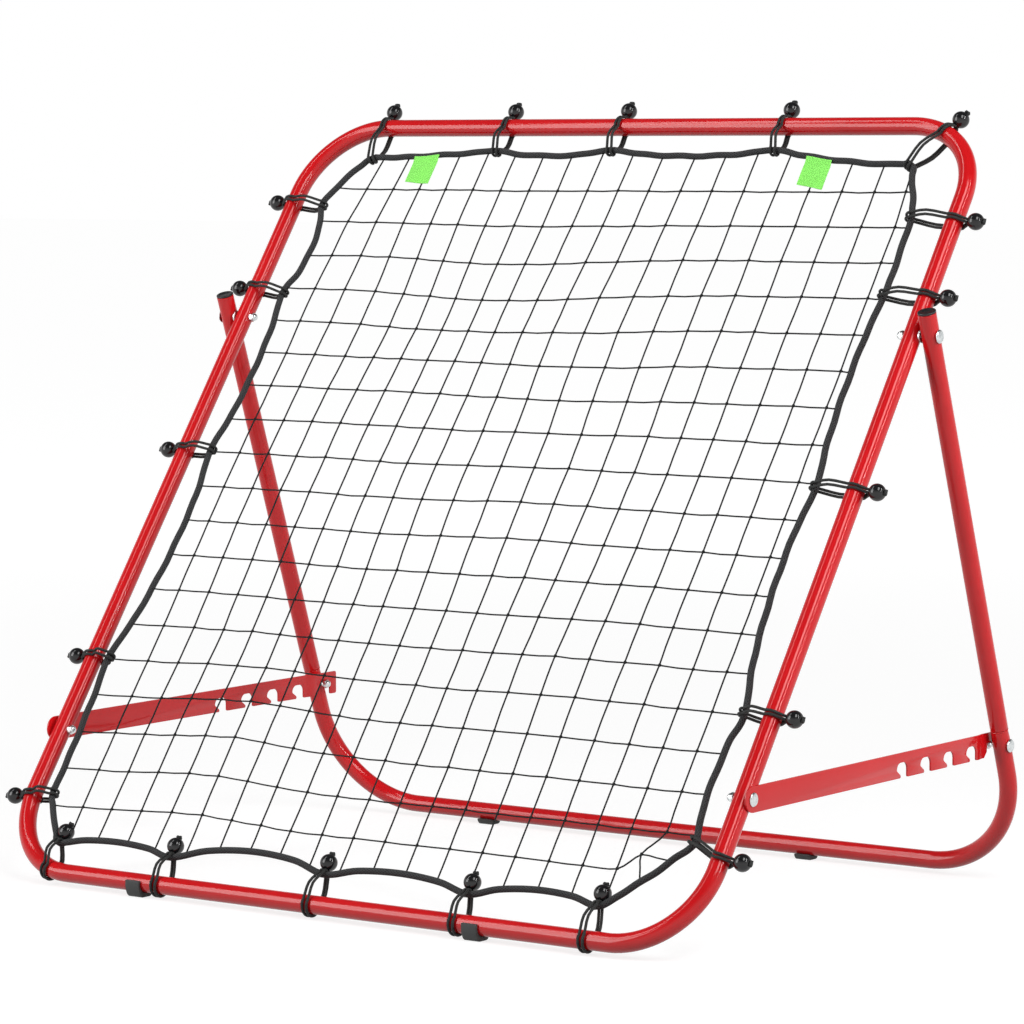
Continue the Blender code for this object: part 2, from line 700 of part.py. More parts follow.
def rope_loop(knots, steps):
    """The rope's axis: a closed Catmull-Rom curve through the knots, straight where it is held."""
    count = len(knots)
    points = []
    for place in range(count):
        p0, p1, p2, p3 = (knots[(place + shift) % count] for shift in (-1, 0, 1, 2))
        if place % KNOTS_A_SPAN == 0:
            grip = rope_run(knots, place) * HOLD_LENGTH / 2
            points += [p1 - grip, p1 + grip]
        for step in range(place % KNOTS_A_SPAN == 0, steps):
            t = step / steps
            points.append(0.5 * (2 * p1 + (p2 - p0) * t + (2 * p0 - 5 * p1 + 4 * p2 - p3) * t * t
                                 + (3 * p1 - p0 - 3 * p2 + p3) * t ** 3))
    return points


def inner_edge(loop, inset):
    """The loop moved in by an inset. The loop runs clockwise as the player sees it."""
    count = len(loop)
    edge = []
    for place, point in enumerate(loop):
        run = (loop[(place + 1) % count] - loop[place - 1]).normalized()
        edge.append(point + inset * Vector((run.y, -run.x)))
    return edge


def build_rope(plane, loop):
    route = [(point.x, 0.0, point.y) for point in loop]
    add_object("border_rope", cord_mesh("border_rope", [route], ROPE_R, ROPE_SIDES, closed=True),
               black_rope(), plane)


def spread(first, last, count):
    """Evenly spaced places from first to last."""
    return [first + (last - first) * step / (count - 1) for step in range(count)]


def net_mesh():
    """A flat grid of crossing strands, one body, that runs out past the rope all round."""
    half = TWINE / 2
    columns = spread(NET_SIDE_MARGIN - SIDE_X, SIDE_X - NET_SIDE_MARGIN, NET_COLUMNS)
    rows = spread(NET_BOTTOM_MARGIN, FRAME_HEIGHT - NET_TOP_MARGIN, NET_ROWS)
    columns_cut = [-SIDE_X] + [c + s for c in columns for s in (-half, half)] + [SIDE_X]
    rows_cut = [0.0] + [r + s for r in rows for s in (-half, half)] + [FRAME_HEIGHT]
    bm = bmesh.new()
    grid = [[bm.verts.new((x, -half, z)) for z in rows_cut] for x in columns_cut]
    faces = []
    for i in range(len(columns_cut) - 1):
        for j in range(len(rows_cut) - 1):
            if i % 2 == 1 or j % 2 == 1:
                faces.append(bm.faces.new((grid[i][j], grid[i + 1][j], grid[i + 1][j + 1],
                                           grid[i][j + 1])))
    bmesh.ops.delete(bm, geom=[v for v in bm.verts if not v.link_faces], context="VERTS")
    grown = bmesh.ops.extrude_face_region(bm, geom=faces)["geom"]
    bmesh.ops.translate(bm, vec=(0, TWINE, 0),
                        verts=[item for item in grown if isinstance(item, bmesh.types.BMVert)])
    return mesh_from("net", bm)


def build_net(plane, loop, knots):
    """The net, trimmed to the rope and clear of the bungees that hold the rope."""
    net = add_object("net", net_mesh(), black_twine(), plane)
    depth = 4 * TWINE
    bm = bmesh.new()
    edge = [bm.verts.new((p.x, -depth, p.y)) for p in inner_edge(loop, ROPE_R + CLEAR)]
    grown = bmesh.ops.extrude_face_region(bm, geom=[bm.faces.new(edge)])["geom"]
    bmesh.ops.translate(bm, vec=(0, 2 * depth, 0),
                        verts=[item for item in grown if isinstance(item, bmesh.types.BMVert)])
    cut_with(net, mesh_from("net_edge", bm), "INTERSECT")
    bm = bmesh.new()
    reach = LOOP_R + CORD_R + NET_FROM_CORD
    for hold in knots[::KNOTS_A_SPAN]:
        turn = Matrix.Translation((hold.x, 0, hold.y)) @ Matrix.Rotation(pi / 2, 4, "X")
        bmesh.ops.create_cone(bm, cap_ends=True, segments=8, radius1=reach, radius2=reach,
                              depth=depth, matrix=turn)
    cut_with(net, mesh_from("net_holds", bm))


def rope_height(loop, across):
    """The height of the rope's axis along the top, at a place across."""
    top = [point for point in loop if point.y > FRAME_HEIGHT / 2]
    before = max((p for p in top if p.x <= across), key=lambda p: p.x)
    after = min((p for p in top if p.x > across), key=lambda p: p.x)
    share = (across - before.x) / (after.x - before.x)
    return before.y + (after.y - before.y) * share


def build_tags(plane, loop):
    """Two plain cloth tags that hang from the rope, in front of the net."""
    front = TWINE / 2 + CLEAR
    for name, across in TAG_ACROSS.items():
        stations = spread(across - TAG_WIDTH / 2, across + TAG_WIDTH / 2, 5)
        seam = ROPE_R + CLEAR
        top = [(station, rope_height(loop, station) - seam) for station in stations]
        low = rope_height(loop, across) - seam - TAG_LENGTH
        outline = [(stations[0], low), (stations[-1], low), *reversed(top)]
        bm = bmesh.new()
        face = bm.faces.new([bm.verts.new((x, -front, z)) for x, z in outline])
        grown = bmesh.ops.extrude_face_region(bm, geom=[face])["geom"]
        bmesh.ops.translate(bm, vec=(0, -TAG_THICKNESS, 0),
                            verts=[v for v in grown if isinstance(v, bmesh.types.BMVert)])
        add_object(f"tag_{name}", mesh_from(f"tag_{name}", bm), green_cloth(), plane)


# ---------------------------------------------------------------- ball bungees

NECK_DEPTH = BALL_R * 0.55
BALL_ON_ROPE = ROPE_R + 3 * CLEAR + BALL_R


def bungee_route(strand, on_tube, on_rope, ball, ball_on_rope):
    """One strand of a bungee, from its knot tail through the ball, round, and back to the ball.

    strand is -1 or 1. on_tube, on_rope and ball are the tube's, the rope's and the ball's own
    places: a point, the direction out of it and the direction along it.
    """

    def place(station, out, along, front):
        point, outward, run = station
        spot = point + outward * out + run * (along * strand / 2)
        return (spot.x, -front, spot.y)

    def round_tube(turn, along):
        return place(on_tube, WRAP_R * cos(radians(turn)), along, WRAP_R * sin(radians(turn)))

    def round_rope(turn, along):
        return place(on_rope, -LOOP_R * cos(radians(turn)), along, LOOP_R * sin(radians(turn)))

    start = [place(ball, BALL_R + TAIL_LENGTH, CORD_SPREAD, 0.0),
             place(ball, 0.0, CORD_PINCH, 0.0),
             place(ball, -BALL_R * 0.8, CORD_PINCH, BALL_R * 0.5)]
    end = [place(ball, -NECK_DEPTH, CORD_PINCH, -NECK_DEPTH)]
    if ball_on_rope:
        middle = ([round_rope(90, CORD_PINCH)]
                  + [round_tube(turn, CORD_SPREAD) for turn in (135, 90, 45)]
                  + [round_tube(turn, CORD_PINCH) for turn in (0, -45, -90, -135)]
                  + [round_rope(-90, CORD_PINCH)])
    else:
        middle = ([round_tube(turn, CORD_SPREAD) for turn in (45, 90, 135)]
                  + [round_rope(turn, CORD_PINCH) for turn in (90, 30, -30, -90)]
                  + [round_tube(turn, CORD_PINCH) for turn in (-135, -90, -45)])
    return start + middle + end


def ball_mesh(center):
    bm = bmesh.new()
    bmesh.ops.create_uvsphere(bm, u_segments=8, v_segments=5, radius=BALL_R,
                              matrix=Matrix.Translation((center.x, 0, center.y)))
    return mesh_from("bungee", bm)


def build_bungees(plane, knots):
    """Every ball bungee: a ball with its doubled cord round the tube and the rope, as one."""
    holds = knots[::KNOTS_A_SPAN]
    place = 0
    for side, rows in BUNGEES.items():
        for number, (tube_place, _, _) in enumerate(rows, 1):
            hold = holds[place]
            run = rope_run(knots, KNOTS_A_SPAN * place)
            out = Vector((-run.y, run.x))
            on_rope = (hold, out, run)
            on_tube = tube_station(side, tube_place)
            ball_on_rope = side == "bottom"
            point, outward, along = on_tube
            if ball_on_rope:
                rise = BALL_ON_ROPE / out.dot(outward)
                ball = (hold - outward * rise, -outward, along)
            else:
                ball = (point + outward * (TUBE_R + BALL_FROM_TUBE[side]), outward, along)
            bungee = add_object(f"bungee_{side}_{number}", ball_mesh(ball[0]), black_cord(), plane)
            routes = [bungee_route(strand, on_tube, on_rope, ball, ball_on_rope)
                      for strand in (-1, 1)]
            cut_with(bungee, cord_mesh("bungee_cord", routes, CORD_R, 4), "UNION")
            place += 1


# ---------------------------------------------------------------- the whole


def main():
    clear_scene()
    front_plane = empty("front_plane", (0, FRONT_Y, TUBE_HEIGHT), -FRAME_LEAN)
    stand_axis = empty("stand_axis", (0, *PIVOT))
    rear_plane = empty("rear_plane", (0, 0, 0), STAND_LEAN, stand_axis)
    knots = rope_knots()
    loop = rope_loop(knots, ROPE_STEPS)

    build_front_frame(front_plane)
    build_stand(rear_plane)
    build_legs(rear_plane)
    build_bars()
    build_fasteners(front_plane, rear_plane)
    build_washers(front_plane)
    build_feet(stand_axis)
    build_rope(front_plane, loop)
    build_net(front_plane, loop, knots)
    build_tags(front_plane, loop)
    build_bungees(front_plane, knots)


main()
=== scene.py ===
"""Looks of the pitch back rebounder: its paint, metal, rubber, rope, net and elastic cords.

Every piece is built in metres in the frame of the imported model, on one of two planes. Places on a
plane are written (across, up, front): across to the right, up along the plane, and front towards
the player.
"""

import logging
from abc import ABC, abstractmethod
from collections.abc import Iterable, Sequence
from dataclasses import dataclass, field
from enum import Enum
from math import acos, asin, atan2, cos, degrees, exp, pi, radians, sin, sqrt
from random import Random

import bmesh
import bpy
from mathutils import Matrix, Vector


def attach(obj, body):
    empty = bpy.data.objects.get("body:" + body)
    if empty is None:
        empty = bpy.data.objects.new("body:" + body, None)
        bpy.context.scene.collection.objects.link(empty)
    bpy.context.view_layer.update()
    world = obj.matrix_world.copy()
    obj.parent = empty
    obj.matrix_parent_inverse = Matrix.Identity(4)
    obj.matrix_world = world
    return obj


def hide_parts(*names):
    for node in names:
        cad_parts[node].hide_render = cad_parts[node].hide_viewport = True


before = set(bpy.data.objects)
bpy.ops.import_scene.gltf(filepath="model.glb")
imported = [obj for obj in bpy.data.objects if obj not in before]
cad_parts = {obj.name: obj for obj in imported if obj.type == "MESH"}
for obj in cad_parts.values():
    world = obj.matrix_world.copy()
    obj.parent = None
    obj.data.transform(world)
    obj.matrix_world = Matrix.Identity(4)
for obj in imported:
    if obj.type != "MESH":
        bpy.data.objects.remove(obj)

log = logging.getLogger("rebounder")

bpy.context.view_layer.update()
WRAP = "wrap"
WHITE = (1.0, 1.0, 1.0, 1.0)

Point = tuple[float, float]
Rgb = tuple[float, float, float]


# ---------------------------------------------------------------- sizes


@dataclass(frozen=True)
class Sizes:
    """The sizes that more than one sub-assembly needs, in metres and radians."""

    clear: float = 0.0003
    tube_r: float = 0.011
    frame_width: float = 1.000
    frame_height: float = 1.103
    frame_bend: float = 0.104
    frame_lean: float = radians(35.64)
    stand_lean: float = radians(19.41)
    stand_bend: float = 0.130
    pivot_up: float = 0.8036
    leg_end_above_pivot: float = 0.0285
    lock_below_pivot: float = 0.5247
    seam_above_lock: float = 0.021
    bar_pivot_up: float = 0.191
    bar_thickness: float = 0.002
    joggle: float = 0.0025
    shank_r: float = 0.003
    foot_base: float = 0.005
    foot_wall: float = 0.003
    rope_r: float = 0.004
    cord_r: float = 0.002
    thread_r: float = 0.0017
    ball_r: float = 0.01035
    twine_r: float = 0.00102
    wrap_step: float = radians(45)

    @property
    def side_x(self) -> float:
        """The front side tube's distance from the middle."""
        return self.frame_width / 2

    @property
    def leg_x(self) -> float:
        """The rear leg's distance from the middle."""
        return self.side_x + 2 * self.tube_r + self.bar_thickness + 2 * self.clear

    @property
    def tube_height(self) -> float:
        """The height of the bottom tubes' axes over the floor."""
        return self.foot_base + self.clear + self.tube_r

    @property
    def leg_length(self) -> float:
        """From the pivot down a leg's axis to the height of the bottom tube."""
        return self.pivot_up * cos(self.frame_lean) / cos(self.stand_lean)

    @property
    def footprint(self) -> float:
        """Between the two bottom tubes' axes on the floor."""
        return self.pivot_up * sin(self.frame_lean) + self.leg_length * sin(self.stand_lean)

    @property
    def front_y(self) -> float:
        """Where the front bottom tube's axis stands."""
        wrap = (self.tube_r + self.clear + self.cord_r) / cos(self.wrap_step / 2)
        front = wrap * cos(self.wrap_step - (pi / 2 - self.frame_lean)) + self.cord_r
        rear = self.tube_r + self.clear + self.foot_wall
        return (front - rear - self.footprint) / 2

    @property
    def bar_inner_x(self) -> float:
        """The inner face of a notched bar at its pivot."""
        return self.side_x + self.tube_r + self.clear


S = Sizes()


@dataclass(frozen=True)
class Plane:
    """A leaning plane that pieces are laid out on."""

    origin: Vector
    tilt: float

    @property
    def matrix(self) -> Matrix:
        """From the plane's own frame to the world, with the plane's Z up along it."""
        return Matrix.Translation(self.origin) @ Matrix.Rotation(self.tilt, 4, "X")

    def at(self, across: float, up: float, front: float = 0.0) -> Vector:
        """The world place of a point of the plane."""
        return self.matrix @ Vector((across, -front, up))


FRONT = Plane(Vector((0.0, S.front_y, S.tube_height)), -S.frame_lean)
REAR = Plane(FRONT.at(0.0, S.pivot_up), S.stand_lean)


# ---------------------------------------------------------------- shapes


def arc(center: Point, radius: float, start: float, stop: float, steps: int) -> list[Point]:
    """Points on an arc.

    Args:
        center: The arc's middle.
        radius: Its radius.
        start: The first point's angle in degrees.
        stop: The last point's angle in degrees.
        steps: How many steps lie between the two.

    Returns:
        The points, both ends among them.
    """
    turns = (radians(start + (stop - start) * step / steps) for step in range(steps + 1))
    return [(center[0] + radius * cos(turn), center[1] + radius * sin(turn)) for turn in turns]


def smooth_step(share: float) -> float:
    """A share from 0 to 1 that starts and ends gently."""
    share = min(max(share, 0.0), 1.0)
    return share * share * (3 - 2 * share)


def spline(p0: Vector, p1: Vector, p2: Vector, p3: Vector, t: float) -> Vector:
    """The point at share t of the way from p1 to p2 on a Catmull-Rom curve."""
    return 0.5 * (2 * p1 + (p2 - p0) * t + (2 * p0 - 5 * p1 + 4 * p2 - p3) * t * t
                  + (3 * p1 - p0 - 3 * p2 + p3) * t ** 3)


def curve_through(points: Sequence[Vector], steps: int) -> list[Vector]:
    """An open curve through points.

    Args:
        points: What the curve passes through.
        steps: How many steps lie between two of them.

    Returns:
        The curve's points, both ends among them.
    """
    padded = [points[0], *points, points[-1]]
    made = [spline(*padded[place:place + 4], step / steps)
            for place in range(len(points) - 1) for step in range(steps)]
    return [*made, points[-1]]


class Shape:
    """A mesh in the making, with a layer that holds each surface's own distances in metres."""

    def __init__(self) -> None:
        """Start with nothing in the mesh."""
        self.bm = bmesh.new()
        self.wrap = self.bm.loops.layers.uv.new(WRAP)

    def tube(self, route: Sequence[Vector], radius: float | Sequence[float], sides: int,
             closed: bool = False) -> None:
        """Add a round tube along a route.

        Args:
            route: The points of its axis.
            radius: Its radius, or one for each point.
            sides: How many flats lie round it.
            closed: Whether it returns to its start. An open one's ends are filled.
        """
        count = len(route)
        radii = [radius] * count if isinstance(radius, float) else list(radius)
        runs = []
        for place in range(count):
            if closed:
                run = route[(place + 1) % count] - route[place - 1]
            else:
                run = route[min(place + 1, count - 1)] - route[max(place - 1, 0)]
            runs.append(run.normalized())
        side = runs[0].orthogonal().normalized()
        rings, along, distances = [], 0.0, []
        for place, (point, run) in enumerate(zip(route, runs)):
            side = (side - run * side.dot(run)).normalized()
            other = run.cross(side)
            if place:
                along += (point - route[place - 1]).length
            distances.append(along)
            ring = []
            for step in range(sides):
                turn = 2 * pi * step / sides
                reach = radii[place] * (side * cos(turn) + other * sin(turn))
                ring.append(self.bm.verts.new(point + reach))
            rings.append(ring)
        girth = 2 * pi * max(radii)
        shift = min(range(sides), key=lambda s: (rings[0][s].co - rings[-1][0].co).length)
        end = along + (route[0] - route[-1]).length
        for place in range(count if closed else count - 1):
            ahead = (place + 1) % count
            turn = shift if closed and ahead == 0 else 0
            near, far = distances[place], distances[ahead] if ahead else end
            for step in range(sides):
                corners = (rings[place][step], rings[place][(step + 1) % sides],
                           rings[ahead][(step + 1 + turn) % sides],
                           rings[ahead][(step + turn) % sides])
                face = self.bm.faces.new(corners)
                face.smooth = True
                low, high = girth * step / sides, girth * (step + 1) / sides
                places = ((near, low), (near, high), (far, high), (far, low))
                for loop, uv in zip(face.loops, places):
                    loop[self.wrap].uv = uv
        if not closed:
            self.bm.faces.new(list(reversed(rings[0])))
            self.bm.faces.new(rings[-1])

    def turned(self, profile: Sequence[Point], sides: int, matrix: Matrix,
               ring: bool = False) -> None:
        """Add a profile turned about Z.

        Args:
            profile: The (radius, height) points, from below to above.
            sides: How many steps lie round it.
            matrix: Where it is put.
            ring: Whether the profile is a closed loop round a hole.
        """
        rows = []
        for radius, height in profile:
            if radius < 1e-7:
                rows.append([self.bm.verts.new(matrix @ Vector((0.0, 0.0, height)))] * sides)
                continue
            rows.append([self.bm.verts.new(matrix @ Vector((radius * cos(2 * pi * s / sides),
                                                            radius * sin(2 * pi * s / sides),
                                                            height))) for s in range(sides)])
        travel = [0.0]
        for (r0, h0), (r1, h1) in zip(profile, profile[1:]):
            travel.append(travel[-1] + sqrt((r1 - r0) ** 2 + (h1 - h0) ** 2))
        pairs = list(zip(range(len(rows) - 1), range(1, len(rows))))
        if ring:
            pairs.append((len(rows) - 1, 0))
        girth = 2 * pi * max(radius for radius, _ in profile)
        for low, high in pairs:
            for s in range(sides):
                t = (s + 1) % sides
                corners, places = [], []
                for vert, place in ((rows[low][s], (travel[low], s)),
                                    (rows[low][t], (travel[low], s + 1)),
                                    (rows[high][t], (travel[high], s + 1)),
                                    (rows[high][s], (travel[high], s))):
                    if vert not in corners:
                        corners.append(vert)
                        places.append((place[0], girth * place[1] / sides))
                face = self.bm.faces.new(corners)
                for loop, uv in zip(face.loops, places):
                    loop[self.wrap].uv = uv

    def plate(self, outline: Sequence[Point], thickness: float, edge: float = 0.0) -> None:
        """Add a plate in the YZ plane, from X = 0 to X = thickness.

        Args:
            outline: Its (along, up) points.
            thickness: How thick it is.
            edge: How far its long edges are rounded.
        """
        face = self.bm.faces.new([self.bm.verts.new((0.0, y, z)) for y, z in outline])
        grown = bmesh.ops.extrude_face_region(self.bm, geom=[face])["geom"]
        moved = [item for item in grown if isinstance(item, bmesh.types.BMVert)]
        bmesh.ops.translate(self.bm, vec=(thickness, 0, 0), verts=moved)
        if edge:
            rims = [e for e in self.bm.edges
                    if abs(e.verts[0].co.x - e.verts[1].co.x) < 1e-9 and len(e.link_faces) == 2
                    and any(len(f.verts) > 4 for f in e.link_faces)]
            bmesh.ops.bevel(self.bm, geom=rims, offset=edge, segments=3, profile=0.5,
                            affect="EDGES", clamp_overlap=True)
        for item in self.bm.faces:
            for loop in item.loops:
                loop[self.wrap].uv = (loop.vert.co.y, loop.vert.co.z)

    def done(self, name: str, matrix: Matrix | None = None, sharp: float = 40.0
             ) -> bpy.types.Mesh:
        """Close the mesh.

        Args:
            name: The mesh's name.
            matrix: Where it is put.
            sharp: The angle in degrees past which an edge stays sharp.

        Returns:
            The mesh, smooth between its sharp edges.
        """
        bmesh.ops.recalc_face_normals(self.bm, faces=self.bm.faces)
        mesh = bpy.data.meshes.new(name)
        self.bm.to_mesh(mesh)
        self.bm.free()
        if matrix is not None:
            mesh.transform(matrix)
        mesh.shade_smooth()
        mesh.set_sharp_from_angle(angle=radians(sharp))
        return mesh


# ---------------------------------------------------------------- finishes


class Nodes:
    """A tree of shader nodes."""

    def __init__(self, tree: bpy.types.NodeTree) -> None:
        """Take the tree."""
        self.tree = tree

    def add(self, kind: str, source: bpy.types.NodeSocket | None = None, **inputs: float
            ) -> bpy.types.Node:
        """Add a node.

        Args:
            kind: Its kind, without the words that every kind starts with.
            source: What is led into its first input.
            inputs: Values of its inputs. A name's underscores stand for spaces.

        Returns:
            The node.
        """
        node = self.tree.nodes.new(f"ShaderNode{kind}")
        for name, value in inputs.items():
            node.inputs[name.replace("_", " ")].default_value = value
        if source is not None:
            self.tree.links.new(source, node.inputs[0])
        return node

    def math(self, operation: str, *values: float | bpy.types.NodeSocket
             ) -> bpy.types.NodeSocket:
        """Work out a value.

        Args:
            operation: The Math node's operation.
            values: Its inputs, each a number or an output.

        Returns:
            The node's output.
        """
        node = self.add("Math")
        node.operation = operation
        for socket, value in zip(node.inputs, values):
            if isinstance(value, bpy.types.NodeSocket):
                self.tree.links.new(value, socket)
            else:
                socket.default_value = value
        return node.outputs[0]

    def between(self, fac: bpy.types.NodeSocket, low: float, high: float,
                start: float = 0.35, stop: float = 0.65) -> bpy.types.NodeSocket:
        """Spread a part of a value's range over two values.

        Args:
            fac: The value.
            low: What start and below give.
            high: What stop and above give.
            start: Where the spread starts.
            stop: Where it ends.

        Returns:
            The spread value.
        """
        return self.add("MapRange", fac, From_Min=start, From_Max=stop, To_Min=low,
                        To_Max=high).outputs[0]

    def seen_directly(self) -> bpy.types.NodeSocket:
        """1 for rays from the camera, a gloss or a clear surface, and 0 for others.

        Returns:
            The 1 or 0.
        """
        path = self.add("LightPath").outputs
        both = self.math("MAXIMUM", path["Is Camera Ray"], path["Is Glossy Ray"])
        return self.math("MAXIMUM", both, path["Is Transmission Ray"])


class Board(Nodes):
    """The nodes of one material."""

    def __init__(self, name: str) -> None:
        """Make the material and find its shader."""
        self.material = bpy.data.materials.new(name)
        self.material.use_nodes = True
        super().__init__(self.material.node_tree)
        self.shader = self.tree.nodes["Principled BSDF"]
        self._spots: dict[str, bpy.types.NodeSocket] = {}

    def set(self, **values: float | tuple[float, ...]) -> None:
        """Set the shader's sockets. A name's underscores stand for spaces.

        Args:
            values: The sockets' values.
        """
        for name, value in values.items():
            self.shader.inputs[name.replace("_", " ")].default_value = value

    def feed(self, socket: str, output: bpy.types.NodeSocket) -> None:
        """Lead an output into one of the shader's sockets."""
        self.tree.links.new(output, self.shader.inputs[socket])

    def wrapped(self, axis: str) -> bpy.types.NodeSocket:
        """The distance along a surface (X) or round it (Y) in metres.

        Args:
            axis: X or Y.

        Returns:
            The distance, whose nodes are made once.
        """
        if axis not in self._spots:
            node = self.add("UVMap")
            node.uv_map = WRAP
            split = self.add("SeparateXYZ", node.outputs["UV"])
            self._spots.update({"X": split.outputs["X"], "Y": split.outputs["Y"]})
        return self._spots[axis]

    def noise(self, size: float, detail: float = 2.0, rough: float = 0.5
              ) -> bpy.types.NodeSocket:
        """Cloudy noise on the piece's own place in metres.

        Args:
            size: The size of its clouds in metres.
            detail: How many finer layers it has.
            rough: How strong they are.

        Returns:
            The noise, about 0.5.
        """
        if "place" not in self._spots:
            self._spots["place"] = self.add("TexCoord").outputs["Object"]
        node = self.add("TexNoise", self._spots["place"], Scale=1.0 / size, Detail=detail,
                        Roughness=rough)
        return node.outputs["Fac"]

    def colour(self, fac: bpy.types.NodeSocket, *stops: tuple[float, Rgb]) -> None:
        """Lay two colours along a value.

        Args:
            fac: The value.
            stops: A (place, colour) for each of them.
        """
        node = self.add("ValToRGB", fac)
        for spot, (place, colour) in zip(node.color_ramp.elements, stops):
            spot.position = place
            spot.color = (*colour, 1.0)
        self.feed("Base Color", node.outputs["Color"])

    def bump(self, height: bpy.types.NodeSocket, depth: float, strength: float = 1.0) -> None:
        """Raise the surface by a height, over whatever bumps it has.

        Args:
            height: The height from 0 to 1.
            depth: What 1 stands for, in metres.
            strength: How much of it shows.
        """
        node = self.add("Bump", Distance=depth, Strength=strength)
        self.tree.links.new(height, node.inputs["Height"])
        under = self.shader.inputs["Normal"]
        if under.is_linked:
            self.tree.links.new(under.links[0].from_socket, node.inputs["Normal"])
        self.feed("Normal", node.outputs["Normal"])

    def strands(self, along: float, around: float) -> bpy.types.NodeSocket:
        """Ridges that run round a cord in a screw.

        Args:
            along: The length of cord that holds one ridge.
            around: The girth that holds one, with a minus for a screw the other way.

        Returns:
            The ridges' height from -1 to 1.
        """
        length = self.math("MULTIPLY", self.wrapped("X"), 2 * pi / along)
        turned = self.math("MULTIPLY_ADD", self.wrapped("Y"), 2 * pi / around, length)
        return self.math("SINE", turned)


class Finish(ABC):
    """A finish that pieces are dressed in."""

    slot: str
    name: str

    def material(self) -> bpy.types.Material:
        """The finish's material, made once.

        Returns:
            The material.
        """
        made = bpy.data.materials.get(self.name)
        if made is None:
            board = Board(self.name)
            self.lay(board)
            made = board.material
        return made

    @abstractmethod
    def lay(self, board: Board) -> None:
        """Lay the finish's nodes on a new material's board."""


@dataclass(frozen=True)
class Clouded(Finish):
    """A moulded, painted or plated finish: clouds of two colours, uneven gloss and a grain.

    clouds, gloss_clouds and grain hold what Board.noise takes, and roughness what Board.between
    takes. Without gloss_clouds of its own, the gloss follows the clouds.
    """

    name: str
    slot: str
    clouds: tuple[float, float, float]
    low: tuple[float, Rgb]
    high: tuple[float, Rgb]
    roughness: tuple[float, ...]
    grain: Point
    grain_depth: float
    grain_strength: float = 1.0
    gloss_clouds: tuple[float, ...] = ()
    specular: float = 0.5
    metallic: float = 0.0

    def lay(self, board: Board) -> None:
        """Lay the clouds, the gloss and the grain."""
        clouds = board.noise(*self.clouds)
        board.colour(clouds, self.low, self.high)
        gloss = board.noise(*self.gloss_clouds) if self.gloss_clouds else clouds
        board.feed("Roughness", board.between(gloss, *self.roughness))
        board.set(Metallic=self.metallic, Specular_IOR_Level=self.specular)
        board.bump(board.noise(*self.grain), self.grain_depth, self.grain_strength)


@dataclass(frozen=True)
class Braid(Finish):
    """A braided sheath, whose threads cross round the cord."""

    name: str
    slot: str
    colour: Rgb
    hollow_shade: Rgb
    radius: float
    threads: int
    pitch: float
    depth: float
    roughness: float
    sheen: float

    def lay(self, board: Board) -> None:
        """Lay both ways of threads and the finer fibres on them, with painted shade that darkens
        the colour in the hollows between the threads.
        """
        around = 2 * pi * self.radius / self.threads
        over = board.math("MAXIMUM", board.strands(self.pitch, around),
                          board.strands(self.pitch, -around))
        height = board.math("MULTIPLY_ADD", over, 0.5, 0.5)
        fibres = board.noise(self.pitch / 9, 2.0)
        mixed = board.math("MULTIPLY_ADD", fibres, 0.35, height)
        # Painted shade: the colour darkens from the threads' crowns into the hollows between them,
        # with the fibres' random tone over it.
        board.colour(mixed, (0.35, self.hollow_shade), (1.0, self.colour))
        board.set(Roughness=self.roughness, Sheen_Weight=self.sheen, Sheen_Roughness=0.6,
                  Specular_IOR_Level=0.2)
        board.bump(height, self.depth)
        board.bump(fibres, self.depth * 0.35)


@dataclass(frozen=True)
class Twine(Finish):
    """Laid twine of three strands."""

    name: str = "black_laid_twine"
    slot: str = "black_twine"
    colour: Rgb = (0.020, 0.021, 0.022)
    hollow_shade: Rgb = (0.008, 0.009, 0.009)
    strand_count: int = 3
    pitch: float = 0.0022

    def lay(self, board: Board) -> None:
        """Lay the three strands' screw and their fibres, with painted shade that darkens the colour
        in the grooves between the strands.
        """
        around = 2 * pi * S.twine_r / self.strand_count
        height = board.math("MULTIPLY_ADD", board.strands(self.pitch, around), 0.5, 0.5)
        fibres = board.noise(0.0004, 2.0)
        mixed = board.math("MULTIPLY_ADD", fibres, 0.4, height)
        # Painted shade: the colour darkens from the strands' crowns into the grooves between them,
        # with the fibres' random tone over it.
        board.colour(mixed, (0.2, self.hollow_shade), (1.0, self.colour))
        board.set(Roughness=0.75, Specular_IOR_Level=0.2)
        board.bump(height, 0.00022)


@dataclass(frozen=True)
class Cloth(Finish):
    """Plain woven cloth in a bright green."""

    name: str = "green_woven_cloth"
    slot: str = "green_cloth"
    colour: Rgb = (0.292, 1.0, 0.141)
    shade: Rgb = (0.265, 0.93, 0.124)
    thread: float = 0.0008

    def lay(self, board: Board) -> None:
        """Lay the over-and-under of the weave, with painted shade where the threads dip under, and
        uneven dye.
        """
        warp = board.math("SINE", board.math("MULTIPLY", board.wrapped("X"), 2 * pi / self.thread))
        weft = board.math("SINE", board.math("MULTIPLY", board.wrapped("Y"), 2 * pi / self.thread))
        weave = board.math("MULTIPLY_ADD", board.math("MULTIPLY", warp, weft), 0.5, 0.5)
        dye = board.math("MULTIPLY_ADD", board.noise(0.006, 3.0), 0.6, weave)
        # Painted shade: the weave's low points take the darker colour, and the dye noise adds real
        # uneven tone over it.
        board.colour(dye, (0.25, self.shade), (0.85, self.colour))
        board.set(Roughness=0.8, Sheen_Weight=0.2, Sheen_Roughness=0.5)
        board.bump(weave, 0.00012)


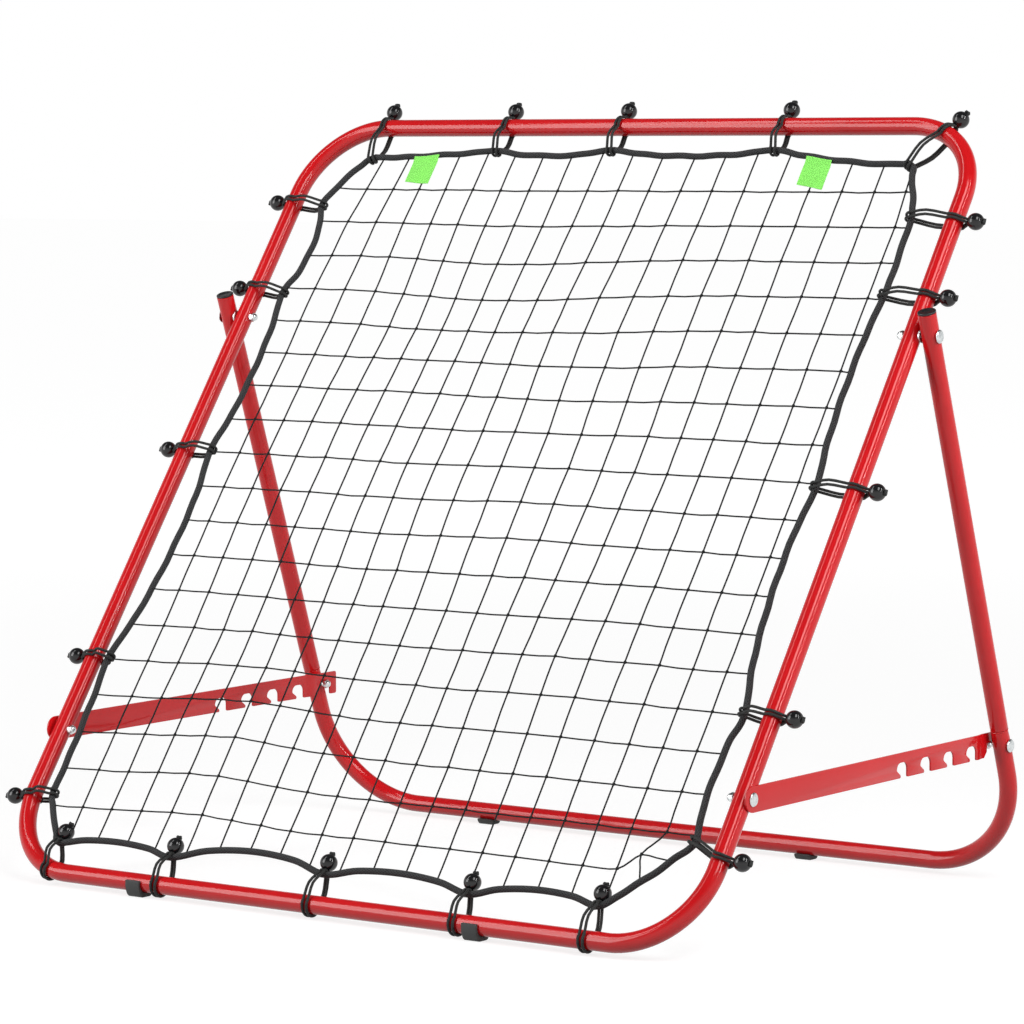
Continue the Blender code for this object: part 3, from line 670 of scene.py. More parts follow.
PAINT = Clouded(name="red_baked_paint", slot="red_paint", clouds=(0.09, 3.0, 0.5),
                low=(0.30, (0.64, 0.007, 0.010)), high=(0.62, (0.70, 0.010, 0.014)),
                gloss_clouds=(0.02, 4.0, 0.6), roughness=(0.10, 0.15), specular=0.4,
                grain=(0.0030, 1.0), grain_depth=0.0000015)
ZINC = Clouded(name="bright_zinc_plate", slot="bright_zinc", clouds=(0.004, 4.0, 0.6),
               low=(0.32, (0.52, 0.55, 0.56)), high=(0.6, (0.72, 0.75, 0.75)),
               gloss_clouds=(0.0012, 3.0), roughness=(0.20, 0.36), metallic=1.0,
               grain=(0.0004, 2.0), grain_depth=0.00001, grain_strength=0.5)
PLASTIC = Clouded(name="black_moulded_plastic", slot="black_plastic", clouds=(0.006, 4.0, 0.6),
                  low=(0.45, (0.009, 0.010, 0.011)), high=(0.75, (0.020, 0.021, 0.023)),
                  roughness=(0.30, 0.45), grain=(0.0006, 2.0), grain_depth=0.00003,
                  grain_strength=0.6)
RUBBER = Clouded(name="grey_moulded_rubber", slot="grey_rubber", clouds=(0.008, 5.0, 0.65),
                 low=(0.40, (0.050, 0.052, 0.052)), high=(0.70, (0.072, 0.074, 0.073)),
                 roughness=(0.58, 0.78), specular=0.4, grain=(0.0009, 2.0),
                 grain_depth=0.00006, grain_strength=0.7)
GLOSS = Clouded(name="black_ball_gloss", slot="black_bungee", clouds=(0.004, 5.0, 0.6),
                low=(0.5, (0.008, 0.008, 0.009)), high=(0.8, (0.018, 0.018, 0.019)),
                roughness=(0.06, 0.14, 0.4, 0.75), grain=(0.003, 1.0), grain_depth=0.00003,
                grain_strength=0.5)
TWINE = Twine()
CLOTH = Cloth()
ROPE_BRAID = Braid(name="black_rope_braid", slot="black_rope", colour=(0.056, 0.057, 0.059),
                   hollow_shade=(0.016, 0.017, 0.018), radius=S.rope_r, threads=8, pitch=0.0046,
                   depth=0.0005, roughness=0.8, sheen=0.03)
CORD_BRAID = Braid(name="black_cord_braid", slot="black_bungee", colour=(0.040, 0.042, 0.041),
                   hollow_shade=(0.012, 0.012, 0.012), radius=S.cord_r, threads=6, pitch=0.0022,
                   depth=0.0002, roughness=0.6, sheen=0.02)


# ---------------------------------------------------------------- pieces


class Body(Enum):
    """The bodies that pieces ride on."""

    FRONT = "front_net_frame"
    STAND = "rear_stand"
    LEFT_BAR = "left_bar"
    RIGHT_BAR = "right_bar"


class Hand(Enum):
    """The two sides of the object, as a player sees it."""

    LEFT = -1
    RIGHT = 1

    @property
    def word(self) -> str:
        """The side's name, as piece names have it."""
        return self.name.lower()

    @property
    def bar(self) -> Body:
        """The body of this side's notched bar."""
        return Body.LEFT_BAR if self is Hand.LEFT else Body.RIGHT_BAR


@dataclass
class SubAssembly(ABC):
    """A group of pieces that are built and dressed together."""

    made: list[bpy.types.Object] = field(default_factory=list, init=False)

    @abstractmethod
    def build(self) -> None:
        """Build and dress every piece of the group."""

    def add(self, name: str, mesh: bpy.types.Mesh, finish: Finish, body: Body,
            *stands_for: str) -> bpy.types.Object:
        """Put a piece in the scene.

        Args:
            name: The piece's name.
            mesh: Its mesh, in place.
            finish: What it is dressed in.
            body: The body that it rides on.
            stands_for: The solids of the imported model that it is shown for.

        Returns:
            The piece.
        """
        piece = bpy.data.objects.new(name, mesh)
        bpy.context.scene.collection.objects.link(piece)
        mesh.materials.append(finish.material())
        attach(piece, body.value)
        if stands_for:
            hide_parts(*stands_for)
        self.made.append(piece)
        log.info("%s: %d faces, %s", name, len(mesh.polygons), finish.name)
        return piece


@dataclass
class FrontLoop(SubAssembly):
    """The front frame's loop of tube."""

    sides: int = 48
    bend_steps: int = 28
    run_steps: int = 12

    def axis(self) -> list[Vector]:
        """The tube's axis on the front plane, once round.

        Returns:
            Its points.
        """
        x_in = S.side_x - S.frame_bend
        low, high = S.frame_bend, S.frame_height - S.frame_bend
        corners = (((x_in, high), 0), ((-x_in, high), 90), ((-x_in, low), 180), ((x_in, low), 270))
        bends = [arc(center, S.frame_bend, start, start + 90, self.bend_steps)
                 for center, start in corners]
        points = []
        for bend, after in zip(bends, bends[1:] + bends[:1]):
            points += bend
            (x0, z0), (x1, z1) = bend[-1], after[0]
            points += [(x0 + (x1 - x0) * step / self.run_steps,
                        z0 + (z1 - z0) * step / self.run_steps)
                       for step in range(1, self.run_steps)]
        return [FRONT.at(across, up) for across, up in points]

    def build(self) -> None:
        """Build the loop."""
        shape = Shape()
        shape.tube(self.axis(), S.tube_r, self.sides, closed=True)
        self.add("front_loop", shape.done("front_loop"), PAINT, Body.FRONT, "front_frame")


@dataclass
class RearStand(SubAssembly):
    """The rear stand: its U of tube, its two legs and the plugs in their ends."""

    sides: int = 48
    bend_steps: int = 28
    run_steps: int = 14
    seam_round: float = 0.0008
    spigot_r: float = 0.0094
    cap_thickness: float = 0.0028
    cap_round: float = 0.0010

    @property
    def seam(self) -> float:
        """How far below the pivot the leg's seam lies."""
        return S.lock_below_pivot - S.seam_above_lock

    def build(self) -> None:
        """Build the U, the legs and the plugs."""
        self.build_u()
        for hand in Hand:
            self.build_leg(hand)
            self.build_cap(hand)

    def build_u(self) -> None:
        """Build the lower U, its open ends rounded in at the seams."""
        x_in, down = S.leg_x - S.stand_bend, S.leg_length - S.stand_bend
        turns = [pi / 2 * step / 3 for step in range(4)]
        ends = [-self.seam - self.seam_round * (1 - sin(turn)) for turn in turns]
        radii = [S.tube_r - self.seam_round * (1 - cos(turn)) for turn in turns]
        fall = [-self.seam - (down - self.seam) * step / 5 for step in range(1, 5)]
        half = [(-S.leg_x, up) for up in ends + fall]
        half += arc((-x_in, -down), S.stand_bend, 180, 270, self.bend_steps)
        run = [(-x_in + 2 * x_in * step / self.run_steps, -S.leg_length)
               for step in range(1, self.run_steps)]
        points = half + run + [(-across, up) for across, up in reversed(half)]
        spread = radii + [S.tube_r] * (len(points) - 2 * len(radii)) + radii[::-1]
        shape = Shape()
        shape.tube([REAR.at(across, up) for across, up in points], spread, self.sides)
        self.add("stand_u", shape.done("stand_u"), PAINT, Body.STAND, "stand_tube")

    def build_leg(self, hand: Hand) -> None:
        """Build one leg, from its open top to the neck that the U's end takes.

        Args:
            hand: Its side of the object.
        """
        seam, edge = -self.seam + S.clear, self.seam_round
        top = S.leg_end_above_pivot
        profile = [(0.0, seam - 0.002), (self.spigot_r, seam - 0.002), (self.spigot_r, seam)]
        profile += arc((S.tube_r - edge, seam + edge), edge, -90, 0, 3)
        profile += [(S.tube_r, seam + (top - seam) * step / 24) for step in range(1, 24)]
        profile += [(S.tube_r, top - 0.0004), (S.tube_r - 0.0004, top), (0.0, top)]
        shape = Shape()
        shape.turned(profile, self.sides, Matrix.Translation((hand.value * S.leg_x, 0, 0)))
        mesh = shape.done(f"leg_{hand.word}", REAR.matrix)
        self.add(f"leg_{hand.word}", mesh, PAINT, Body.STAND, f"rear_leg_{hand.word}")

    def build_cap(self, hand: Hand) -> None:
        """Build the plug in a leg's top end, with a soft rim and a shallow dish.

        Args:
            hand: Its side of the object.
        """
        rim, top, reach = self.cap_round, self.cap_thickness, S.tube_r
        profile = [(0.0, -0.004), (self.spigot_r, -0.004), (self.spigot_r, 0.0),
                   (reach - rim / 2, 0.0), (reach, rim / 2), (reach, top - rim)]
        profile += arc((reach - rim, top - rim), rim, 22.5, 90, 3)
        profile += [(reach * 0.74, top), (reach * 0.70, top - 0.0002),
                    (reach * 0.66, top - 0.0006), (0.0, top - 0.0006)]
        shape = Shape()
        place = (hand.value * S.leg_x, 0, S.leg_end_above_pivot + S.clear)
        shape.turned(profile, self.sides, Matrix.Translation(place))
        mesh = shape.done(f"cap_{hand.word}", REAR.matrix, 50.0)
        self.add(f"cap_{hand.word}", mesh, PLASTIC, Body.STAND, f"leg_cap_{hand.word}")


@dataclass
class NotchedBars(SubAssembly):
    """The two flat bars with their open slots."""

    height: float = 0.0295
    tail: float = 0.0133
    tail_round: float = 0.003
    slot_count: int = 5
    slot_pitch: float = 0.0532
    slot_width: float = 0.0236
    slot_crown: float = 0.0085
    slot_mouth: float = 0.015
    lip_rise: float = 0.009
    edge_round: float = 0.002
    joggle_length: float = 0.018
    fold_travel: float = radians(47.0)
    lift_per_fold: float = 0.75
    bevel: float = 0.00035
    curve_steps: int = 12

    def __post_init__(self) -> None:
        """Find the bar's length and tilt from the pivots that it joins."""
        pivot = REAR.origin
        lock = REAR.at(0.0, -S.lock_below_pivot)
        hinge = FRONT.at(0.0, S.bar_pivot_up)
        self.pivot = Vector((pivot.y, pivot.z))
        self.lock = Vector((lock.y, lock.z))
        self.hinge = Vector((hinge.y, hinge.z))
        run = self.lock - self.hinge
        self.reach = run.length
        self.bar_tilt = atan2(run.y, run.x)

    @staticmethod
    def turned(vector: Vector, angle: float) -> Vector:
        """A side-view vector turned from Y towards Z."""
        return Vector((vector.x * cos(angle) - vector.y * sin(angle),
                       vector.x * sin(angle) + vector.y * cos(angle)))

    def lock_travel(self, fold: float) -> Vector:
        """Where folding takes the lock bolt, seen from the bar.

        Args:
            fold: How far the stand is folded.

        Returns:
            The way from its seat, along the bar and across it.
        """
        lock = self.pivot + self.turned(self.lock - self.pivot, -fold)
        seen = self.turned(lock - self.hinge, -self.lift_per_fold * fold - self.bar_tilt)
        return Vector((seen.x - self.reach, seen.y))

    def exit_wall(self, depth: float) -> float:
        """How far ahead of its seat the lock bolt's front reaches as it leaves past a depth.

        Args:
            depth: The depth below the bar's axis.

        Returns:
            The distance ahead of the seat.
        """
        low, high = 0.0, self.fold_travel / 4
        step = self.fold_travel / 1000
        front = Vector((0.0, 0.0))
        for _ in range(30):
            fold = (low + high) / 2
            path = self.lock_travel(fold + step) - self.lock_travel(fold)
            ahead = Vector((path.y, -path.x)).normalized() * (S.shank_r + 2 * S.clear)
            front = self.lock_travel(fold) + ahead
            low, high = (fold, high) if front.y > -depth else (low, fold)
        return -front.x

    def slot_points(self, middle: float, is_lock_slot: bool) -> list[Point]:
        """A slot's wall from the front of its mouth to the back.

        Args:
            middle: The slot's middle along the bar.
            is_lock_slot: Whether the lock bolt rests in this one.

        Returns:
            The wall's points.
        """
        half, deep, edge = self.slot_width / 2, self.height / 2, self.edge_round
        inner = half - self.slot_crown
        shoulder = S.shank_r + S.clear - self.slot_crown
        crown = arc((middle - inner, shoulder), self.slot_crown, 180, 90, self.curve_steps)
        crown += arc((middle + inner, shoulder), self.slot_crown, 90, 0, self.curve_steps)
        corner = arc((middle + half + edge, -deep + edge), edge, 180, 270, 6)
        if is_lock_slot:
            depths = [deep - (deep + shoulder) * step / 8 for step in range(8)]
            front = [(middle - max(half, self.exit_wall(depth)), -depth) for depth in depths]
            return front + crown + corner
        lip, wall = middle + half - self.slot_mouth, middle - half
        front = arc((lip - edge, -deep + edge), edge, -90, 0, 6)
        front += [(lip - ahead, -deep + up) for ahead, up in
                  ((0.0002, 0.0029), (0.0008, 0.0038), (0.0018, 0.0045))]
        front += [(wall + ahead, -deep + self.lip_rise + up) for ahead, up in
                  ((0.0016, -0.0010), (0.0007, -0.0003), (0.0002, 0.0004), (0.0, 0.0012))]
        return front + crown + corner

    def outline(self) -> list[Point]:
        """The bar's outline, its pivot at the origin and the lock slot on its axis.

        Returns:
            Its points.
        """
        half, inset = self.height / 2, self.tail_round
        end = self.reach + self.slot_width / 2 + self.tail
        points = arc((0.0, 0.0), half, 90, 270, 2 * self.curve_steps)
        for place in range(self.slot_count - 1, -1, -1):
            points += self.slot_points(self.reach - place * self.slot_pitch, place == 0)
        points += arc((end - inset, inset - half), inset, -90, 0, 6)
        return points + arc((end - inset, half - inset), inset, 0, 90, 6)

    def build(self) -> None:
        """Build both bars."""
        deepest = max(self.slot_width / 2, self.exit_wall(self.height / 2))
        step_end = self.reach - deepest - self.edge_round
        step_start = step_end - self.joggle_length
        for hand in Hand:
            shape = Shape()
            shape.plate(self.outline(), S.bar_thickness, self.bevel)
            for step in range(9):
                station = step_start + self.joggle_length * step / 8
                geometry = shape.bm.verts[:] + shape.bm.edges[:] + shape.bm.faces[:]
                bmesh.ops.bisect_plane(shape.bm, geom=geometry, dist=1e-7,
                                       plane_co=(0, station, 0), plane_no=(0, 1, 0))
            for vert in shape.bm.verts:
                share = smooth_step((vert.co.y - step_start) / self.joggle_length)
                vert.co.x = hand.value * (vert.co.x - S.joggle * share)
            seat = Matrix.Translation((hand.value * S.bar_inner_x, *self.hinge))
            mesh = shape.done(f"slotted_bar_{hand.word}",
                              seat @ Matrix.Rotation(self.bar_tilt, 4, "X"), 30.0)
            self.add(f"slotted_bar_{hand.word}", mesh, PAINT, hand.bar,
                     f"notched_bar_{hand.word}")


@dataclass(frozen=True)
class Bolted:
    """Where a bolt and its nut go: up a plane, between the outer and the inner face."""

    kind: str
    hand: Hand
    plane: Plane
    body: Body
    up: float
    outer: float
    inner: float

    def seat(self, across: float, outward: bool) -> Matrix:
        """Where a turned piece stands, its Z along the bolt.

        Args:
            across: The face that the piece rests on.
            outward: Whether Z points away from the middle.

        Returns:
            The matrix from the piece's frame to the world.
        """
        turn = self.hand.value * pi / 2 * (1 if outward else -1)
        spot = Matrix.Translation((self.hand.value * across, 0.0, self.up))
        return self.plane.matrix @ spot @ Matrix.Rotation(turn, 4, "Y")


@dataclass
class Fasteners(SubAssembly):
    """The bolts, domed nuts and spacer washers at the pivots and the slots."""

    sides: int = 40
    head_r: float = 0.008
    head_height: float = 0.003
    rim_height: float = 0.001
    rim_round: float = 0.0003
    dome_inset: float = 0.0004
    nut_corner_r: float = 0.006
    hex_height: float = 0.0045
    dome_height: float = 0.0045
    thread: float = 0.0055
    washer_r: float = 0.008

    def build(self) -> None:
        """Build every bolt with its nut, and the washers between frame and legs."""
        leg_outside = S.leg_x + S.tube_r
        frame_inside = S.side_x - S.tube_r
        bar_outside = S.bar_inner_x + S.bar_thickness
        lock_inside = S.bar_inner_x - S.joggle
        for hand in Hand:
            pivot = Bolted("pivot", hand, FRONT, Body.FRONT, S.pivot_up, leg_outside,
                           frame_inside)
            bar = Bolted("bar", hand, FRONT, Body.FRONT, S.bar_pivot_up, bar_outside,
                         frame_inside)
            lock = Bolted("lock", hand, REAR, Body.STAND, -S.lock_below_pivot, leg_outside,
                          lock_inside)
            for place in (pivot, bar, lock):
                self.build_bolt(place)
                self.build_nut(place)
            self.build_washer(pivot)

    @staticmethod
    def dome(swell: float, foot: float, rise: float) -> list[Point]:
        """A dome's profile from just over its foot to its top.

        Args:
            swell: Its radius at the foot.
            foot: The foot's height.
            rise: How far the top lies over the foot.

        Returns:
            The profile's points.
        """
        turns = (radians(7.5 * step) for step in range(1, 12))
        return [*((swell * cos(turn), foot + rise * sin(turn)) for turn in turns),
                (0.0, foot + rise)]

    def build_bolt(self, place: Bolted) -> None:
        """Build a bolt with a low domed head over a thin rim.

        Args:
            place: Where it goes.
        """
        reach, rim, edge = self.head_r, self.rim_height, self.rim_round
        grip = place.outer - place.inner + 2 * S.clear + self.thread
        profile = [(0.0, -grip), (S.shank_r, -grip), (S.shank_r, 0.0), (reach - edge, 0.0),
                   (reach, edge), (reach, rim - edge), (reach - edge, rim)]
        profile += self.dome(reach - self.dome_inset, rim, self.head_height - rim)
        shape = Shape()
        shape.turned(profile, self.sides, place.seat(place.outer + S.clear, True))
        name = f"{place.kind}_bolt_{place.hand.word}"
        self.add(f"{name}_head", shape.done(name, sharp=35.0), ZINC, place.body, name)

    def build_nut(self, place: Bolted) -> None:
        """Build a domed nut: a hexagon with turned-off corners under a round dome.

        Args:
            place: Where it goes.
        """
        seat = place.seat(place.inner - S.clear, False)
        shape = Shape()
        flat_r = self.nut_corner_r * cos(pi / 6)
        rows = ((0.0, True), (0.0006, False), (self.hex_height - 0.0008, False),
                (self.hex_height, True))
        steps = 48
        rings = []
        for height, tapered in rows:
            ring = []
            for step in range(steps):
                turn = 2 * pi * step / steps
                part = (turn + pi / 6) % (pi / 3) - pi / 6
                reach = flat_r / cos(part)
                reach = min(reach, flat_r * 1.015) if tapered else reach
                ring.append(shape.bm.verts.new(seat @ Vector((reach * cos(turn),
                                                              reach * sin(turn), height))))
            rings.append(ring)
        for low, high in zip(rings, rings[1:]):
            for step in range(steps):
                ahead = (step + 1) % steps
                shape.bm.faces.new((low[step], low[ahead], high[ahead], high[step]))
        shape.bm.faces.new(list(reversed(rings[0])))
        shape.bm.faces.new(rings[-1])
        swell, top = flat_r - self.dome_inset, self.hex_height
        foot = top + self.dome_inset
        profile = [(swell, top - 0.0005), (swell, foot)]
        profile += self.dome(swell, foot, self.dome_height - self.dome_inset)
        shape.turned(profile, self.sides, seat)
        name = f"{place.kind}_nut_{place.hand.word}"
        self.add(f"{name}_dome", shape.done(name, sharp=28.0), ZINC, place.body, name)

    def build_washer(self, pivot: Bolted) -> None:
        """Build the washer between a leg and the front frame.

        Args:
            pivot: Where the bolt through it goes.
        """
        half, edge = S.bar_thickness / 2, 0.0002
        bore, rim = S.shank_r + S.clear, self.washer_r
        profile = [(bore, -half), (rim - edge, -half), (rim, edge - half), (rim, half - edge),
                   (rim - edge, half), (bore, half)]
        shape = Shape()
        middle = S.side_x + S.tube_r + half + S.clear
        shape.turned(profile, self.sides, pivot.seat(middle, True), ring=True)
        name = f"pivot_washer_{pivot.hand.word}"
        self.add(f"{name}_ring", shape.done(name), ZINC, Body.FRONT, name)


@dataclass
class Feet(SubAssembly):
    """The rubber saddles under the bottom tubes, open towards the middle of the object."""

    width: float = 0.021
    rise: float = 0.0042
    short_arm_drop: float = 0.0092
    pad: float = 0.006
    lip: float = 0.0011
    front_across: dict[Hand, float] = field(
        default_factory=lambda: {Hand.LEFT: -0.2805, Hand.RIGHT: 0.216})
    rear_across: dict[Hand, float] = field(
        default_factory=lambda: {Hand.LEFT: -0.277, Hand.RIGHT: 0.215})

    def outline(self, outside: int) -> list[Point]:
        """The saddle's section, its middle on the tube's axis.

        Args:
            outside: 1 where the tall arm faces back, -1 where it faces the front.

        Returns:
            The section's points.
        """
        seat = S.tube_r + S.clear
        half, deep, lip = seat + S.foot_wall, seat + S.foot_base, self.lip
        short = asin(self.short_arm_drop / deep)
        swell = [(self.pad + (half - self.pad) * cos(turn), -deep * sin(turn))
                 for turn in (pi / 2 * step / 14 for step in range(15))]
        points = arc((-half + lip, self.rise - lip), lip, 90, 180, 4)
        points += [(-along, up) for along, up in swell]
        points += [(along, up) for along, up in reversed(swell)
                   if up < -self.short_arm_drop - 0.0012]
        end = self.pad + (half - self.pad) * cos(short)
        points += [(end - back, -self.short_arm_drop - down) for back, down in
                   ((0.0003, 0.0007), (0.0008, 0.0002), (0.0015, 0.0))]
        points += arc((0.0, 0.0), seat, -degrees(asin(self.short_arm_drop / seat)),
                      -180 - degrees(asin(self.rise / seat)), 36)
        return [(-outside * along, up) for along, up in points]

    def build(self) -> None:
        """Build two feet under the front frame and two under the stand."""
        ends = (("front", S.front_y, Body.FRONT, -1, self.front_across),
                ("rear", S.front_y + S.footprint, Body.STAND, 1, self.rear_across))
        for end, along, body, outside, places in ends:
            for hand, across in places.items():
                shape = Shape()
                shape.plate(self.outline(outside), self.width, 0.0009)
                place = (across - self.width / 2, along, S.tube_height)
                name = f"foot_{end}_{hand.word}"
                mesh = shape.done(name, Matrix.Translation(place), 35.0)
                self.add(f"{name}_saddle", mesh, RUBBER, body, name)


# ---------------------------------------------------------------- rope, net, bungees and tags


class Side(Enum):
    """The four sides of the front frame, in the order that the rope takes."""

    TOP = "top"
    RIGHT = "right"
    BOTTOM = "bottom"
    LEFT = "left"

    @property
    def half_length(self) -> float:
        """Half the side's length along the tube's axis."""
        return S.side_x if self in (Side.TOP, Side.BOTTOM) else S.frame_height / 2

    @property
    def span(self) -> float:
        """The side's distance from the frame's middle."""
        return S.frame_height / 2 if self in (Side.TOP, Side.BOTTOM) else S.side_x

    def point(self, offset: float, level: float) -> Vector:
        """The (across, up) point at a place along the side and out from the middle.

        Args:
            offset: How far along the side from its middle.
            level: How far out from the frame's middle.

        Returns:
            The point.
        """
        middle = S.frame_height / 2
        if self is Side.TOP:
            return Vector((offset, middle + level))
        if self is Side.BOTTOM:
            return Vector((offset, middle - level))
        if self is Side.RIGHT:
            return Vector((level, middle + offset))
        return Vector((-level, middle + offset))

    def from_middle(self, place: float) -> float:
        """A place given from a corner, measured from the side's middle."""
        return place - self.half_length if place > 0 else place + self.half_length


@dataclass(frozen=True)
class Station:
    """A place on a round piece of the front plane, with the ways out of it and along it."""

    point: Vector
    out: Vector
    along: Vector

    def at(self, out: float, along: float, front: float) -> Vector:
        """The (across, -front, up) place of a point given from the station."""
        spot = self.point + self.out * out + self.along * along
        return Vector((spot.x, -front, spot.y))


@dataclass(frozen=True)
class Hold:
    """One bungee's places: on the tube, on the rope, and the rope's inset from the tube."""

    side: Side
    tube: float
    rope: float
    inset: float

    @property
    def rope_point(self) -> Vector:
        """Where the rope is held, as (across, up)."""
        return self.side.point(self.side.from_middle(self.rope), self.side.span - self.inset)

    def on_tube(self) -> Station:
        """The tube's axis where the bungee crosses it.

        Returns:
            The station there.
        """
        side = self.side
        offset = side.from_middle(self.tube)
        past_bend = abs(offset) - (side.half_length - S.frame_bend)
        out, level = Vector((0.0, 1.0)), side.span
        if past_bend > 0:
            lean = past_bend / S.frame_bend
            rise = sqrt(1 - lean * lean)
            out = Vector((lean if offset > 0 else -lean, rise))
            level = side.span - S.frame_bend + S.frame_bend * rise
        outward = side.point(out.x, out.y) - side.point(0.0, 0.0)
        return Station(side.point(offset, level), outward, Vector((outward.y, -outward.x)))


HOLDS = tuple(Hold(side, *row) for side, rows in {
    Side.TOP: ((0.101, 0.097, 0.048), (0.2965, 0.292, 0.036), (0.472, 0.469, 0.035),
               (-0.286, -0.288, 0.035), (-0.054, -0.088, 0.057)),
    Side.RIGHT: ((-0.138, -0.133, 0.060), (-0.246, -0.244, 0.058), (-0.512, -0.5095, 0.054),
                 (0.294, 0.296, 0.0376), (0.1137, 0.132, 0.0405)),
    Side.BOTTOM: ((-0.132, -0.134, 0.042), (-0.310, -0.311, 0.0370), (0.480, 0.481, 0.0395),
                  (0.251, 0.250, 0.037), (0.077, 0.072, 0.0385)),
    Side.LEFT: ((0.096, 0.1025, 0.029), (0.293, 0.2965, 0.0225), (-0.504, -0.5005, 0.040),
                (-0.2555, -0.260, 0.045), (-0.120, -0.123, 0.0465)),
}.items() for row in rows)

ROPE_BOWS = (0.0015, 0.0085, 0.0093, 0.005, -0.002, -0.001, 0.008, 0.014, 0.008, -0.005,
             0.013, 0.014, 0.019, 0.0105, -0.003, 0.002, 0.017, 0.011, 0.015, -0.007)


@dataclass
class BorderRope(SubAssembly):
    """The rope round the net, a closed loop that the bungees draw out."""

    sides: int = 20
    steps: int = 7
    hold_length: float = 0.010
    bow_end: float = 0.22
    bow_end_share: float = 0.72
    knots_a_span: int = 4
    ripple: float = 0.0008
    ripple_pitch: float = 0.051

    def knots(self) -> list[Vector]:
        """The rope's chosen points: a hold, then three along the bow after it.

        Returns:
            The (across, up) points.
        """
        made = []
        for place, bow in enumerate(ROPE_BOWS):
            here = HOLDS[place].rope_point
            there = HOLDS[(place + 1) % len(HOLDS)].rope_point
            run = (there - here).normalized()
            bend = bow * Vector((run.y, -run.x))
            made += [here, here.lerp(there, self.bow_end) + bend * self.bow_end_share,
                     here.lerp(there, 0.5) + bend,
                     here.lerp(there, 1 - self.bow_end) + bend * self.bow_end_share]
        return made

    def station(self, place: int) -> Station:
        """The rope at one of the holds.

        Args:
            place: The hold's number, from 0.

        Returns:
            The rope's point with the ways out of the net and along the rope.
        """
        knots = self.knots()
        middle = self.knots_a_span * place
        ahead = (knots[(middle + 1) % len(knots)] - knots[middle]).normalized()
        behind = (knots[middle] - knots[middle - 1]).normalized()
        run = (ahead + behind).normalized()
        return Station(knots[middle], Vector((-run.y, run.x)), run)

    def loop(self) -> list[Vector]:
        """The rope's axis as (across, up) points, straight where it is held.

        Returns:
            The points, once round.
        """
        knots = self.knots()
        count = len(knots)
        points = []
        for place in range(count):
            p0, p1, p2, p3 = (knots[(place + shift) % count] for shift in (-1, 0, 1, 2))
            held = place % self.knots_a_span == 0
            meets_hold = (place + 1) % self.knots_a_span == 0
            span_start = place - place % self.knots_a_span
            chord = knots[(span_start + self.knots_a_span) % count] - knots[span_start]
            waves = max(1, round(chord.length / self.ripple_pitch))
            aside = Vector((-chord.y, chord.x)).normalized()
            at_bottom = HOLDS[place // self.knots_a_span].side is Side.BOTTOM
            ripple = 0.0 if at_bottom else self.ripple
            if held:
                run = self.station(place // self.knots_a_span).along * self.hold_length / 2
                points += [p1 - run, p1, p1 + run]
            for step in range(1 if held else 0, self.steps):
                t = step / self.steps
                spot = spline(p0, p1, p2, p3, t)
                near = min((spot - p1).length if held else 1.0,
                           (spot - p2).length if meets_hold else 1.0)
                share = (place - span_start + t) / self.knots_a_span
                wave = ripple * sin(2 * pi * waves * share) * sin(pi * share)
                if near > self.hold_length / 2 + 0.001:
                    points.append(spot + aside * wave)
        return points

    def crossing(self, point: Vector, way: Vector) -> Vector:
        """Where a line from inside the net meets the rope's axis.

        Args:
            point: The line's start, as (across, up).
            way: Its direction.

        Returns:
            The nearest crossing ahead, or the start where there is none.
        """
        loop = self.loop_points
        best, found = 1e9, point
        for place, here in enumerate(loop):
            there = loop[(place + 1) % len(loop)]
            run = there - here
            cross = way.x * run.y - way.y * run.x
            if abs(cross) < 1e-12:
                continue
            gap = here - point
            ahead = (gap.x * run.y - gap.y * run.x) / cross
            share = (gap.x * way.y - gap.y * way.x) / cross
            if 0 < ahead < best and 0 <= share <= 1:
                best, found = ahead, point + way * ahead
        return found

    def nearest(self, spot: Vector) -> Vector:
        """The point of the rope's axis nearest to an (across, up) spot."""
        return min(self.loop_points, key=lambda point: (point - spot).length)

    def height_at(self, across: float) -> float:
        """The height of the rope's axis along the top, at a place across."""
        return self.crossing(Vector((across, S.frame_height * 0.8)), Vector((0.0, 1.0))).y

    def build(self) -> None:
        """Build the rope."""
        self.loop_points = self.loop()
        shape = Shape()
        route = [FRONT.at(point.x, point.y) for point in self.loop_points]
        shape.tube(route, S.rope_r, self.sides, closed=True)
        self.add("net_rope", shape.done("net_rope", sharp=180.0), ROPE_BRAID, Body.FRONT,
                 "border_rope")


@dataclass(frozen=True)
class Pull:
    """A place where the net hangs off its even grid; middle and reach count columns and rows."""

    middle: Point
    reach: Point
    shift: Point

    def moved(self, column: int, row: int, across: float, up: float) -> Point:
        """Move a knot by this pull.

        Args:
            column: The knot's column.
            row: Its row.
            across: Its place across.
            up: Its height.

        Returns:
            The moved place, as (across, up).
        """
        aside = (column - self.middle[0]) / self.reach[0]
        above = (row - self.middle[1]) / self.reach[1]
        share = exp(-aside * aside - above * above)
        return across + self.shift[0] * share, up + self.shift[1] * share


